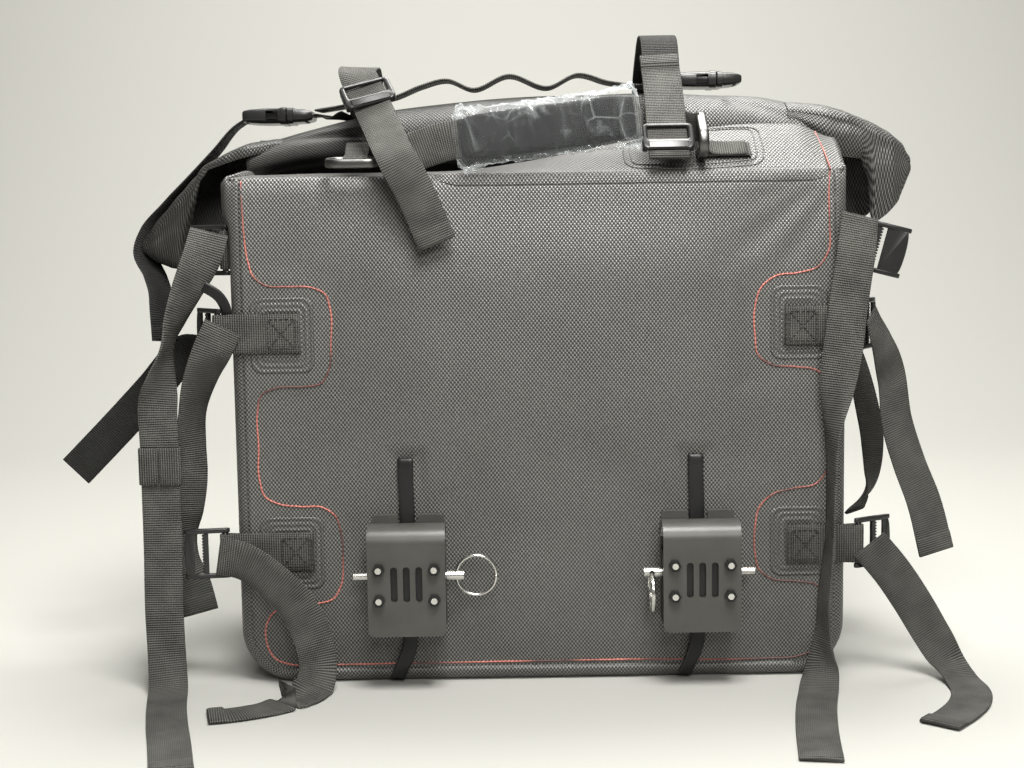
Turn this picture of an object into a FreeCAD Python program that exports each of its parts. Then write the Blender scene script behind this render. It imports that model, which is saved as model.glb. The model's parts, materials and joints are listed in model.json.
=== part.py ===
import FreeCAD, Part
import math
import os
from FreeCAD import Placement, Rotation, Vector

# Soft roll-top motorcycle pannier, standing on its base.
# Frame: +Z up, -Y the bike side with the two rack hooks, origin at the centre of the base.
# All lengths are in millimetres.

os.makedirs("parts", exist_ok=True)

# ---------------------------------------------------------------- driving dimensions
body_width = 400.0          # X, outside
body_depth = 200.0          # Y, outside
crease_height = 333.0       # top of the flat bike-side face
outer_height = 320.0        # top of the flat outer face
corner_radius = 36.0        # bottom corners of the face
fabric = 2.4                # coated fabric with its foam core
mouth_front = -55.0         # free edges of the two top panels
mouth_front_height = 366.0
mouth_rear = 64.0
mouth_rear_height = 344.0

webbing_width = 25.0
webbing = 1.5               # thickness
floor_gap = 0.05            # straps that lie on the floor stay this far above Z = 0
UP = None                   # heading of webbing whose width stands upright

tab_upper = 233.0           # heights of the strap tabs
tab_lower = 89.5
loop_offset = 7.5           # lock bar beyond the side of the bag
loop_y = -102.0
bar_radius = 2.0            # lock bars and the webbing loops that hold them
loop_inner = 2.08
loop_outer = 3.6

mount_left = -87.5          # centres of the two rack hooks
mount_right = 102.0
plate_width = 50.0
plate_bottom = 38.5
plate_top = 110.0
plate = 2.5                 # sheet of the hook plates
base_plate = 4.0
tube_radius = 8.0           # rack tube, 16 mm
sleeve = 1.95               # wall of the sleeve that lines the hook
hook_inner = 10.0
bolt_spacing_x = 35.5
bolt_lower = 62.5
bolt_spacing_z = 20.0
bolt_radius = 2.0
nut_corner = 4.04           # centre to corner of a 7 mm nut
pin_height = 75.5
pin_radius = 2.5
pin_clearance = 0.06

half = body_width / 2
face = -body_depth / 2      # Y of the bike-side face
rear = body_depth / 2
base_front = face - 0.1 - base_plate
leg_front = base_front - 0.1 - plate
tube_y = leg_front - hook_inner
tube_z = plate_top - plate - hook_inner
hook_face = tube_y - hook_inner - plate

nodes = {}                  # node name to shape


def keep(name, *solids):
    nodes[name] = solids[0] if len(solids) == 1 else Part.makeCompound(list(solids))


# ---------------------------------------------------------------- shape helpers
def box(x0, x1, y0, y1, z0, z1):
    return Part.makeBox(x1 - x0, y1 - y0, z1 - z0, Vector(x0, y0, z0))


def rod(radius, start, end):
    start, end = Vector(*start), Vector(*end)
    return Part.makeCylinder(radius, (end - start).Length, start, end - start)


def fuse(first, *others):
    return first.multiFuse(list(others)).removeSplitter() if others else first


def cut(shape, *tools):
    return shape.cut(list(tools)) if tools else shape


def rounded(shape, radius, direction):
    """Round the straight edges that run along one direction."""
    axis = Vector(*direction)
    edges = []
    for edge in shape.Edges:
        if isinstance(edge.Curve, Part.Line) and abs(abs(edge.Curve.Direction.dot(axis)) - 1) < 1e-6:
            edges.append(edge)
    return shape.makeFillet(radius, edges)


def prism(points, direction):
    """Closed polygon pushed along a vector."""
    wire = Part.makePolygon([Vector(*p) for p in points + points[:1]])
    return Part.Face(wire).extrude(Vector(*direction))


def placed(shape, origin, turn=0.0, axis=(0, 0, 1)):
    copy = shape.copy()
    copy.Placement = Placement(Vector(*origin), Rotation(Vector(*axis), turn))
    return copy


def skin(rings, other_diagonal=()):
    """Closed faceted solid through rings of equally many points. The sides named in
    other_diagonal are split along their second diagonal."""
    faces = []

    def triangle(a, b, c):
        wire = Part.makePolygon([a, b, c, a])
        faces.append(Part.Face(wire))

    count = len(rings[0])
    for near, far in zip(rings, rings[1:]):
        for i in range(count):
            j = (i + 1) % count
            if i in other_diagonal:
                triangle(near[i], near[j], far[i])
                triangle(near[j], far[j], far[i])
            else:
                triangle(near[i], near[j], far[j])
                triangle(near[i], far[j], far[i])
    first, last = rings[0], rings[-1]
    for i in range(1, count - 1):
        triangle(first[0], first[i + 1], first[i])
        triangle(last[0], last[i], last[i + 1])
    solid = Part.Solid(Part.Shell(faces))
    if solid.Volume < 0:
        solid.complement()
    return solid


def strap(stations, width=webbing_width, thickness=webbing):
    """Flat webbing through stations (x, y, z, heading). The heading is the direction, in degrees
    in plan, that the webbing's width turns towards, or UP where the width stands upright.
    Webbing that would dip under the floor is lifted onto it."""
    points = [Vector(*s[:3]) for s in stations]
    rings = []
    for i, point in enumerate(points):
        run = points[min(i + 1, len(points) - 1)] - points[max(i - 1, 0)]
        run.normalize()
        across = Vector(0, 0, 1)
        if stations[i][3] is not UP:
            heading = math.radians(stations[i][3])
            across = Vector(math.cos(heading), math.sin(heading), 0)
        across = across - run * across.dot(run)
        across.normalize()
        normal = run.cross(across)
        w, t = across * (width / 2), normal * (thickness / 2)
        ring = [point - w - t, point + w - t, point + w + t, point - w + t]
        lift = max(0.0, floor_gap - min(corner.z for corner in ring))
        rings.append([corner + Vector(0, 0, lift) for corner in ring])
    return skin(rings, other_diagonal=(2,))


def face_outline(inset, bottom):
    """Bike-side outline of the bag, inset all round, as a flat face at Y = 0."""
    w, r = half - inset, corner_radius - inset
    top, k = crease_height, math.sqrt(0.5)
    right = Part.Arc(Vector(w - r, 0, bottom), Vector(w - r + r * k, 0, bottom + r - r * k),
                     Vector(w, 0, bottom + r))
    left = Part.Arc(Vector(-w, 0, bottom + r), Vector(-w + r - r * k, 0, bottom + r - r * k),
                    Vector(-w + r, 0, bottom))
    edges = [Part.LineSegment(Vector(-w + r, 0, bottom), Vector(w - r, 0, bottom)), right,
             Part.LineSegment(Vector(w, 0, bottom + r), Vector(w, 0, top)),
             Part.LineSegment(Vector(w, 0, top), Vector(-w, 0, top)),
             Part.LineSegment(Vector(-w, 0, top), Vector(-w, 0, bottom + r)), left]
    return Part.Face(Part.Wire([e.toShape() for e in edges]))


def slab(inset, bottom, y0, y1):
    shape = face_outline(inset, bottom)
    shape.translate(Vector(0, y0, 0))
    return shape.extrude(Vector(0, y1 - y0, 0))


# ---------------------------------------------------------------- bag shell
screw_places = [(centre + side * 15.0, height)
                for centre in (mount_left, mount_right) for side in (-1, 1) for height in (48.0, 103.0)]


def screw_holes(y0, y1):
    return [rod(2.2, (x, y0 - 1, z), (x, y1 + 1, z)) for x, z in screw_places]


def leaning_panel(y0, z0, y1, z1):
    """Top panel from a face's upper edge to its free edge at the mouth."""
    run = Vector(0, y1 - y0, z1 - z0)
    run.normalize()
    inward = Vector(0, run.z, -run.y) if y1 > y0 else Vector(0, -run.z, run.y)
    t = inward * fabric
    points = [(-half, y0, z0), (-half, y1, z1), (-half, y1 + t.y, z1 + t.z), (-half, y0 + t.y, z0 + t.z)]
    return prism(points, (body_width, 0, 0))


front = slab(0, 0, face, face + fabric)
front = cut(front, *screw_holes(face, face + fabric))
front_top = leaning_panel(face, crease_height, mouth_front, mouth_front_height)
keep("front_panel", fuse(front, front_top))

outer = slab(0, 0, rear - fabric, rear)
outer = cut(outer, box(-half, half, 0, rear + 1, outer_height, crease_height + 1))
outer_top = leaning_panel(rear, outer_height, mouth_rear, mouth_rear_height)
keep("outer_panel", fuse(outer, outer_top))

side_top = [(face + fabric, crease_height - 1), (mouth_front - 4, crease_height - 4),
            (mouth_rear, outer_height + 6), (rear - fabric, outer_height - 2)]
for name, x in (("gusset_left", -half), ("gusset_right", half - fabric)):
    outline = [(x, face + fabric, corner_radius), (x, rear - fabric, corner_radius)]
    outline += [(x, y, z) for y, z in reversed(side_top)]
    keep(name, prism(outline, (fabric, 0, 0)))
base = cut(slab(0, 0, face + fabric, rear - fabric), slab(fabric, fabric, face, rear))
keep("gusset_base", cut(base, box(-half, half, face, rear, corner_radius, crease_height + 1)))

# Boards and liner, from the shell inwards.
board = 3.0
board_front = face + fabric + 0.1
board_shape = slab(6.0, 6.0, board_front, board_front + board)
board_shape = cut(board_shape, box(-half, half, face, 0, 300.0, crease_height + 1))
keep("bike_side_board", cut(board_shape, *screw_holes(board_front, board_front + board)))
keep("base_board", rounded(box(-158, 158, -86, 92, fabric + 0.2, fabric + 3.2), 12, (0, 0, 1)))

backing = 2.0
backing_front = board_front + board + 0.1
backing_plates = []
for centre in (mount_left, mount_right):
    back = rounded(box(centre - 25, centre + 25, backing_front, backing_front + backing, 40, 111),
                   5, (0, 1, 0))
    backing_plates.append(cut(back, *screw_holes(backing_front, backing_front + backing)))
keep("backing_plates", *backing_plates)

liner_front = backing_front + backing + 3.2
liner_wall = 0.8
liner_shape = slab(fabric + 0.8, 6.4, liner_front, rear - fabric - 0.4)
liner_space = slab(fabric + 0.8 + liner_wall, 6.4 + liner_wall,
                   liner_front + liner_wall, rear - fabric - 0.4 - liner_wall)
above = box(-half, half, face, rear, outer_height - 6, crease_height + 2)
keep("liner", cut(liner_shape, liner_space, above))

# ---------------------------------------------------------------- piping and strap tabs
piping_width = 1.6
piping_inset = 12.0
notch_depth = 66.0
notch_height = 66.0


def piped_area(shrink):
    inset = piping_inset + shrink
    area = slab(inset, inset, face - 0.9, face)
    for side in (-1, 1):
        for height in (tab_upper, tab_lower - 2):
            x = sorted((side * (half - notch_depth - shrink), side * (half + 1)))
            notch = box(x[0], x[1], face - 2, face + 1, height - notch_height / 2 - shrink,
                        height + notch_height / 2 + shrink)
            area = cut(area, rounded(notch, 12 + shrink, (0, 1, 0)))
    return cut(area, box(-half, half, face - 2, face + 1, crease_height - 8, crease_height + 1))


piping = cut(piped_area(0), piped_area(piping_width))
top_edge = box(-half + 20, half - 20, face - 2, face + 1, crease_height - 12, crease_height)
keep("front_piping", cut(piping, top_edge))

patch = 0.8
tab_thickness = 2.4
patches = []
tabs = (("upper_left", -1, tab_upper, 154.0), ("lower_left", -1, tab_lower, 149.0),
        ("upper_right", 1, tab_upper, 158.0), ("lower_right", 1, tab_lower, 160.0))
for place, side, height, inner in tabs:
    x = sorted((side * 145.0, side * 187.0))
    patches.append(rounded(box(x[0], x[1], face - patch, face, height - 24, height + 24), 8, (0, 1, 0)))
    loop_x = side * (half + loop_offset)
    x = sorted((side * inner, loop_x))
    low, high = height - webbing_width / 2, height + webbing_width / 2
    flat = box(x[0], x[1], face - patch - tab_thickness, face - patch, low, high)
    tube = rod(loop_outer, (loop_x, loop_y, low), (loop_x, loop_y, high))
    bore = rod(loop_inner, (loop_x, loop_y, low - 1), (loop_x, loop_y, high + 1))
    keep("tab_" + place, cut(fuse(flat, tube), bore))
keep("strap_patches", *patches)


# ---------------------------------------------------------------- ladder locks and their tails
def ladder_lock(length):
    """Frame with a round bar on the local Z axis and two flat bars further out along X."""
    rail, inside = 3.2, webbing_width / 2 + 0.8
    outside = inside + rail
    body = box(-3.2, length, -2.0, 2.0, -outside, outside)
    window_near = box(-2.2, length * 0.42, -3, 3, -inside, inside)
    window_far = box(length * 0.42 + 3.5, length - 3.5, -3, 3, -inside, inside)
    frame = cut(rounded(body, 1.8, (0, 1, 0)), window_near, window_far)
    frame = cut(frame, box(-9, -2.0, -3, 3, -inside, inside))
    return fuse(frame, rod(bar_radius, (0, 0, -outside), (0, 0, outside)))


lock_turn = {"upper_left": 180 - 52, "lower_left": 180 + 8, "upper_right": 58, "lower_right": 30}
for place, side, height, inner in tabs:
    where = (side * (half + loop_offset), loop_y, height)
    keep("ladder_lock_" + place, placed(ladder_lock(27.0), where, lock_turn[place]))

keep("tail_upper_left", strap([(-202, -108.5, 233, 0), (-208, -109, 222, 15), (-217, -103, 198, 25),
                               (-228, -96, 158, 20), (-230, -95, 124, 30), (-232, -93, 98, 40),
                               (-232, -91, 60, 20), (-231, -90, 38, 10)]))
keep("tail_lower_left", strap([(-211, -109, 89, UP), (-195, -112, 86, UP), (-176, -116, 74, UP),
                               (-159, -118, 56, 5), (-149, -119, 33, 15), (-147, -120, 14, 20),
                               (-150, -129, 3.5, 25), (-160, -145, 1.4, 40), (-176, -158, 1.4, 60),
                               (-194, -167, 1.4, 75), (-209, -171, 1.4, 80)]))
keep("tail_upper_right", strap([(216, -104, 234, 58), (224, -96, 221, 48), (232, -86, 201, 35),
                                (238, -80, 165, 25), (247, -77, 138, 20), (257, -77, 112, 15),
                                (266, -77, 77, 10)]))
keep("tail_lower_right", strap([(214, -109, 88, 0), (228, -107, 72, 0), (243, -104, 50, 0),
                                (256, -104, 28, 5), (266, -108, 11, 15), (271, -121, 3, 25),
                                (271, -140, 1.4, 10), (264, -163, 1.4, -15), (249, -187, 1.4, -30),
                                (232, -207, 1.4, -35)]))

# Straps that come round from the outer face to the locks.
outer_straps = []
side_reach = -70.0
for height in (tab_upper, tab_lower):
    low, high = height - webbing_width / 2, height + webbing_width / 2
    reach = half + 0.1 + webbing
    ring = box(-reach, reach, side_reach, rear + 0.1 + webbing, low, high)
    inside = box(-half - 0.1, half + 0.1, side_reach - 1, rear + 0.1, low - 1, high + 1)
    outer_straps.append(cut(ring, inside))
keep("outer_straps", *outer_straps)

keep("rear_tails",
     strap([(-207, -24, 236, 90), (-222, -18, 232, 60), (-244, -15, 219, 20), (-272, -15, 189, 0),
            (-300, -15, 160, 0), (-329, -15, 131, 0)]),
     strap([(207, -20, 236, 90), (220, -24, 216, 60), (228, -28, 180, 40), (233, -32, 148, 40),
            (229, -40, 118, 60), (213, -50, 100, 90)]))

# ---------------------------------------------------------------- side cinch buckles and long straps
cinch_height = 287.0
cinch_y = -85.0
anchors = []
for side in (-1, 1):
    x = side * (half + 4.2)
    low, high = cinch_height - webbing_width / 2, cinch_height + webbing_width / 2
    flat_x = sorted((side * (half + 0.1), side * (half + 2.5)))
    flat = box(flat_x[0], flat_x[1], cinch_y, -45, low, high)
    tube = rod(loop_outer, (x, cinch_y, low), (x, cinch_y, high))
    bore = rod(loop_inner, (x, cinch_y, low - 1), (x, cinch_y, high + 1))
    anchors.append(cut(fuse(flat, tube), bore))
keep("cinch_anchors", *anchors)
keep("cinch_buckle_left", placed(ladder_lock(24.0), (-half - 4.2, cinch_y, cinch_height), 180 - 15))
keep("cinch_buckle_right", placed(ladder_lock(36.0), (half + 4.2, cinch_y, cinch_height), -8))

keeper_height = 149.0
strap_a_x = -246.0
strap_a_y = -112.0
keep("long_strap_left",
     strap([(-214, -102, 297, 10), (-219, -105, 287, 20), (-229, -109, 262, 45), (-238, -112, 228, 70),
            (-243, -112, 205, 50), (strap_a_x, strap_a_y, 188, 0), (strap_a_x, strap_a_y, 165, 0),
            (strap_a_x, strap_a_y, 100, 0), (strap_a_x - 1, strap_a_y, 50, 0), (-246, -114, 22, 0),
            (-244, -122, 6, 5), (-241, -140, 1.4, 10), (-232, -180, 1.4, 12), (-221, -222, 1.4, 14),
            (-211, -262, 1.4, 14)]))
keep("strap_keeper", cut(
    rounded(box(strap_a_x - 14.6, strap_a_x + 14.6, strap_a_y - 2.3, strap_a_y + 2.3,
                keeper_height - 12.5, keeper_height + 12.5), 1.2, (0, 0, 1)),
    box(strap_a_x - 13.2, strap_a_x + 13.2, strap_a_y - 1.1, strap_a_y + 1.1, 100, 200)))
keep("long_strap_right",
     strap([(207, -103, 301, 15), (203, -110, 280, 5), (198, -113, 250, 0), (194, -115, 220, -10),
            (190, -117, 195, -40), (187, -119, 170, -75), (186, -120, 130, -90), (185, -120, 90, -90),
            (182, -120, 60, -88), (181, -120, 30, -80), (179, -124, 12, -50), (175, -137, 2.5, -25),
            (168, -165, 1.4, -18), (160, -205, 1.4, -16), (151, -262, 1.4, -14)]))

# ---------------------------------------------------------------- rack hooks
half_plate = plate_width / 2


def half_ring(outer_radius, inner_radius, x0, x1):
    ring = cut(rod(outer_radius, (x0, tube_y, tube_z), (x1, tube_y, tube_z)),
               rod(inner_radius, (x0 - 1, tube_y, tube_z), (x1 + 1, tube_y, tube_z)))
    return cut(ring, box(x0 - 1, x1 + 1, tube_y - 40, tube_y + 40, tube_z - 40, tube_z))


def bolt_places(centre):
    return [(centre + side * bolt_spacing_x / 2, bolt_lower + row * bolt_spacing_z)
            for side in (-1, 1) for row in (0, 1)]


def hook_plate(centre):
    x0, x1 = centre - half_plate, centre + half_plate
    front_leg = box(x0, x1, hook_face, hook_face + plate, plate_bottom, tube_z)
    rear_leg = box(x0, x1, leg_front, leg_front + plate, tube_z - 6, tube_z)
    front_leg = rounded_bottom(front_leg, x0, x1)
    bend = half_ring(hook_inner + plate, hook_inner, x0, x1)
    shape = fuse(front_leg, bend, rear_leg)
    tools = [rod(bolt_radius + 0.1, (x, hook_face - 1, z), (x, hook_face + plate + 1, z))
             for x, z in bolt_places(centre)]
    for column in (-1, 0, 1):
        x = centre + column * 8.0
        slot = box(x - 2.2, x + 2.2, hook_face - 1, hook_face + plate + 1, 61, 84)
        tools.append(rounded(slot, 2.1, (0, 1, 0)))
    return cut(shape, *tools)


def rounded_bottom(shape, x0, x1):
    corners = [e for e in shape.Edges
               if abs(e.BoundBox.ZMax - plate_bottom) < 0.01 and e.BoundBox.YLength > 1
               and e.BoundBox.XLength < 0.01]
    return shape.makeFillet(4.0, corners)


def base_plate_shape(centre):
    shape = box(centre - half_plate + 1, centre + half_plate - 1, base_front, face - 0.1,
                plate_bottom + 1, plate_top + 3)
    shape = rounded(shape, 4.0, (0, 1, 0))
    groove = box(centre - 5.8, centre + 5.8, face - 3.0, face, 0, 200)
    notch = box(centre - 6.5, centre + 6.5, face - 10, face, plate_top - 4, 200)
    sinks = [rod(3.7, (x, base_front - 1, z), (x, base_front + 2.1, z)) for x, z in screw_places]
    return cut(shape, groove, notch, *screw_holes(base_front, face), *sinks)


def clamp_block(centre):
    shape = box(centre - half_plate + 0.5, centre + half_plate - 0.5, hook_face + plate + 0.1,
                base_front - 0.1, plate_bottom + 4, tube_z - tube_radius - 0.6)
    tools = [rod(pin_radius + pin_clearance, (centre - 40, tube_y, pin_height),
                 (centre + 40, tube_y, pin_height))]
    for x, z in bolt_places(centre):
        tools.append(rod(bolt_radius + 0.1, (x, hook_face, z), (x, base_front + 1, z)))
        tools.append(rod(3.8, (x, base_front - 3.4, z), (x, base_front + 1, z)))
    return cut(shape, *tools)


def bolt_with_nut(x, z):
    shank = rod(bolt_radius, (x, hook_face - 4.2, z), (x, base_front - 0.2, z))
    head = rod(3.5, (x, base_front - 3.2, z), (x, base_front - 0.2, z))
    corners = []
    for angle in range(0, 360, 60):
        turn = math.radians(angle)
        corners.append((x + nut_corner * math.cos(turn), hook_face - 3.3, z + nut_corner * math.sin(turn)))
    nut = prism(corners, (0, 3.2, 0))
    return fuse(shank, head, nut)


def base_screw(x, z):
    shank = rod(2.1, (x, base_front, z), (x, backing_front + backing + 2.6, z))
    head = rod(3.6, (x, base_front, z), (x, base_front + 2.0, z))
    nut = rod(3.6, (x, backing_front + backing, z), (x, backing_front + backing + 2.6, z))
    return fuse(shank, head, nut)


mounts = (("left", mount_left, 1), ("right", mount_right, -1))
for name, centre, side in mounts:
    keep("hook_plate_" + name, hook_plate(centre))
keep("base_plates", *[base_plate_shape(centre) for name, centre, side in mounts])
keep("clamp_blocks", *[clamp_block(centre) for name, centre, side in mounts])
keep("hook_sleeves", *[half_ring(tube_radius + sleeve, tube_radius, centre - half_plate + 0.5,
                                 centre + half_plate - 0.5) for name, centre, side in mounts])
keep("hook_bolts", *[bolt_with_nut(x, z)
                     for name, centre, side in mounts for x, z in bolt_places(centre)])
keep("base_screws", *[base_screw(x, z) for x, z in screw_places])

tie = 1.8
tie_width = 10.5
tie_y = face - 1.0 - tie / 2
tie_straps = []
for name, centre, side in mounts:
    tie_straps.append(box(centre - tie_width / 2, centre + tie_width / 2,
                          tie_y - tie / 2, tie_y + tie / 2, 4, 149))
keep("tie_straps", *tie_straps)


# ---------------------------------------------------------------- quick-release pins and split rings
eye = 31.5                  # split-ring hole from the hook's centre, towards the pull side
ring_radius = 13.0
ring_wire = 1.1
eye_radius = 1.75


def pull_pin(centre, side, eye_axis):
    tip, shoulder, end = centre - side * 35, centre + side * 25.3, centre + side * 36.5
    shank = rod(pin_radius, (tip, tube_y, pin_height), (shoulder + side, tube_y, pin_height))
    collar = rod(3.3, (shoulder, tube_y, pin_height), (end, tube_y, pin_height))
    at = Vector(centre + side * eye, tube_y, pin_height)
    along = Vector(*eye_axis) * 6
    return cut(fuse(shank, collar), rod(eye_radius, tuple(at - along), tuple(at + along)))


def split_ring(hub, axis):
    """Two touching coils, drawn as two flat rings side by side."""
    along = Vector(*axis) * (ring_wire * 0.62)
    return [Part.makeTorus(ring_radius, ring_wire / 2, Vector(*hub) + along * side, Vector(*axis))
            for side in (-1, 1)]


keep("pull_pin_left", pull_pin(mount_left, 1, (0, 0, 1)))
keep("pull_pin_right", pull_pin(mount_right, -1, (0, 1, 0)))
keep("split_ring_left", *split_ring((mount_left + eye + ring_radius, tube_y, pin_height), (0, 1, 0)))
keep("split_ring_right", *split_ring((mount_right - eye, tube_y, pin_height - ring_radius), (1, 0, 0)))

# ---------------------------------------------------------------- carry handle
handle_tilt = 0.115         # rise per length, towards the right
handle_y = -97.0
grip_left, grip_right = -50.0, 64.0
grip_centre_z = 362.0

length = grip_right - grip_left
grip_box = box(-length / 2, length / 2, -8.5, 8.5, -15.5, 15.5)
grip_box = rounded(grip_box, 7.5, (1, 0, 0))
tilt_degrees = math.degrees(math.atan(handle_tilt))
grip_middle = (grip_left + grip_right) / 2
grip_at = (grip_middle, handle_y, grip_centre_z)
channel = placed(box(-80, 80, -1.6, 1.6, -13.2, 13.2), grip_at, -tilt_degrees, (0, 1, 0))
keep("handle_grip", cut(placed(grip_box, grip_at, -tilt_degrees, (0, 1, 0)), channel))
keep("handle_webbing", placed(box(-length / 2 - 9, length / 2 + 1, -1.2, 1.2, -12.5, 12.5),
                              grip_at, -tilt_degrees, (0, 1, 0)))

ring_bar = 1.8
slope = Vector(0, mouth_front - face, mouth_front_height - crease_height)
slope.normalize()
slope_out = Vector(0, -slope.z, slope.y)


def oval_ring(long_side, short_side, wire):
    """Ring in the local XZ plane, long side along X, with one straight side on the X axis."""
    r = short_side / 2
    straight = long_side / 2 - r
    parts = [rod(wire, (-straight, 0, 0), (straight, 0, 0)),
             rod(wire, (-straight, 0, short_side), (straight, 0, short_side))]
    for side in (-1, 1):
        turn = Part.makeTorus(r, wire, Vector(side * straight, 0, r), Vector(0, 1, 0))
        x = sorted((side * straight, side * 100))
        parts.append(turn.common(box(x[0], x[1], -20, 20, -20, short_side + 20)))
    return fuse(*parts)


def oriented(shape, origin, x_dir, z_dir):
    y_dir = z_dir.cross(x_dir)
    copy = shape.copy()
    copy.Placement = Placement(origin, Rotation(x_dir, y_dir, z_dir, "XZY"))
    return copy


ring_tube_outer = 3.3
ring_tube_inner = ring_bar + 0.08


def sewn_tab(origin, loop_dir, run_dir, width, reach):
    """Short webbing tab lying on the top panel, with a loop for a ring at its end."""
    normal = slope_out
    flat = box(-width / 2, width / 2, 0, reach, -ring_tube_outer, -ring_tube_outer + 2.2)
    tube = rod(ring_tube_outer, (-width / 2, 0, 0), (width / 2, 0, 0))
    bore = rod(ring_tube_inner, (-width / 2 - 1, 0, 0), (width / 2 + 1, 0, 0))
    shape = cut(fuse(flat, tube), bore)
    copy = shape.copy()
    copy.Placement = Placement(origin, Rotation(loop_dir, run_dir, normal, "XYZ"))
    return copy


lift = slope_out * (ring_tube_outer + 0.2)
left_foot = Vector(-117, face, crease_height) + slope * 12 + lift
right_foot = Vector(107, face, crease_height) + slope * 24 + lift
keep("handle_tabs",
     sewn_tab(left_foot, Vector(1, 0, 0), slope, 15, 30),
     sewn_tab(right_foot, -slope, Vector(1, 0, 0), 15, 34))
ring_dip = math.radians(8)  # the left ring leans this far below level
forward = Vector(0, -math.cos(ring_dip), -math.sin(ring_dip))
keep("handle_ring_left", oriented(oval_ring(34, 17, ring_bar), left_foot, Vector(1, 0, 0), forward))
keep("handle_ring_right", oriented(oval_ring(34, 17, ring_bar), right_foot, slope, slope_out))

# ---------------------------------------------------------------- roll closure
# Stations (x, lowest z, highest z, front y, rear y) of the rolled fabric, from end to end.
roll_stations = [(-273, 282, 292, -22, 6), (-262, 276, 306, -30, 14), (-246, 274, 324, -36, 22),
                 (-226, 287, 345, -40, 30), (-203, 306, 356, -42, 34), (-200.5, 338, 358, -43, 34),
                 (-160, 337, 368, -44, 35), (-110, 336.5, 380, -44, 36), (-50, 336, 388, -44, 36),
                 (30, 336, 391, -44, 36), (110, 336, 390, -44, 36), (160, 336.5, 387, -44, 36),
                 (200.5, 338, 377, -44, 36), (203, 318, 376, -44, 36), (225, 309, 366, -42, 34),
                 (246, 302, 353, -38, 30), (262, 318, 338, -24, 16)]
ring_sides = 16


def roll_ring(x, low, high, front_y, rear_y):
    ring = []
    for i in range(ring_sides):
        a = 2 * math.pi * (i + 0.5) / ring_sides
        y = (front_y + rear_y) / 2 + (rear_y - front_y) / 2 * math.cos(a)
        z = (low + high) / 2 + (high - low) / 2 * math.sin(a)
        ring.append(Vector(x, y, z))
    return ring


strip_box = box(-192, 192, -5.6, -2.4, 346, 362)
roll = skin([roll_ring(*station) for station in roll_stations])
keep("roll_top", cut(roll, box(-192.3, 192.3, -5.9, -2.1, 345.7, 362.3)))
keep("roll_strip", strip_box)

keep("daisy_chain", strap([(-151, -1, 382, 90), (-122, -4, 386, 90), (-96, -5, 390, 90), (-78, -5, 397, 90),
                           (-60, -5, 401, 90), (-42, -5, 394.5, 90), (-17, -5, 403.5, 90),
                           (10, -5, 395, 90), (31, -5, 403.5, 90), (52, -5, 398, 90),
                           (72, -4, 395.5, 90), (94, 4, 397.5, 90)]))

buckle_height = 11.0
buckle_half_width = 16.0


def buckle_socket():
    """Box open at local +X, 30 long, with the plug's space inside."""
    shell = rounded(box(-30, 0, -buckle_half_width, buckle_half_width, -buckle_height / 2,
                        buckle_height / 2), 3.0, (1, 0, 0))
    space = box(-24, 1, -13.5, 13.5, -3.5, 3.5)
    window = box(-14, -5, -30, 30, -3.5, 3.5)
    slot = box(-29, -26.5, -12.8, 12.8, -10, 10)
    return cut(shell, space, window, slot)


def buckle_plug():
    """Body outside the socket with three prongs that reach into it."""
    body = box(0.5, 18, -buckle_half_width, buckle_half_width, -4.8, 4.8)
    body = rounded(body, 2.0, (1, 0, 0))
    slot = box(12, 15, -12.8, 12.8, -10, 10)
    prongs = [box(-20, 1, y - 1.8, y + 1.8, -2.6, 2.6) for y in (-10.5, 0, 10.5)]
    return fuse(cut(body, slot), *prongs)


left_buckle_at = (-172.0, 0.0, 378.5)
right_buckle_at = (128.0, 10.0, 400.0)
keep("roll_buckle_left_socket", placed(buckle_socket(), left_buckle_at))
keep("roll_buckle_left_plug", placed(buckle_plug(), left_buckle_at))
keep("roll_buckle_right_socket", placed(buckle_socket(), right_buckle_at))
keep("roll_buckle_right_plug", placed(buckle_plug(), right_buckle_at))
keep("roll_tail_left", strap([(-258, -24, 268, 50), (-262, -36, 258, 40), (-262, -44, 244, 35),
                              (-260, -46, 225, 35)]))

# Two over-straps come from behind the roll, over its top and down the bike side.
left_top, left_low = Vector(-117, -58, 401), Vector(-88, -114, 342)
right_top, right_low = Vector(85, -52, 400), Vector(85, -101, 341)


def straight(top, low):
    """Stations of a straight run, with two inside it that keep its width true."""
    return [(*(top + (low - top) * part), 0) for part in (0.0, 0.1, 0.9, 1.0)]


keep("over_strap_left", strap([(-121, 45, 366, 0), (-120, 34, 388, 0), (-118, 4, 402, 0),
                               (-117, -28, 408, 0), *straight(left_top, left_low),
                               (-80, -114, 327, 0), (-64, -110, 289, 0)]))
keep("over_strap_right", strap([(85, 45, 372, 0), (85, 36, 398, 0), (85, 10, 418, 0), (85, -14, 428, 0),
                                (85, -34, 424, 0), *straight(right_top, right_low)]))


def triglide():
    """Slide for straight webbing in the local XZ plane: end bars in front, middle bar behind."""
    reach, inside = 11.0, webbing_width / 2 + 0.7
    rails = [box(x, x + 3.2, -2.9, 2.9, -reach, reach) for x in (-inside - 3.2, inside)]
    bars = [box(-inside - 1, inside + 1, -2.9, -1.3, z, z + 3.6) for z in (-reach, reach - 3.6)]
    middle = box(-inside - 1, inside + 1, 1.3, 2.9, -2.2, 2.2)
    return fuse(*rails, *bars, middle)


def on_strap(shape, top, low, distance):
    run = low - top
    run.normalize()
    across = Vector(1, 0, 0) - run * run.x
    across.normalize()
    normal = run.cross(across) * -1
    copy = shape.copy()
    copy.Placement = Placement(top + run * distance, Rotation(across, normal * -1, run * -1, "XZY"))
    return copy


keep("triglide_left", on_strap(triglide(), left_top, left_low, 22.0))
keep("triglide_right", on_strap(triglide(), right_top, right_low, 60.0))

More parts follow.
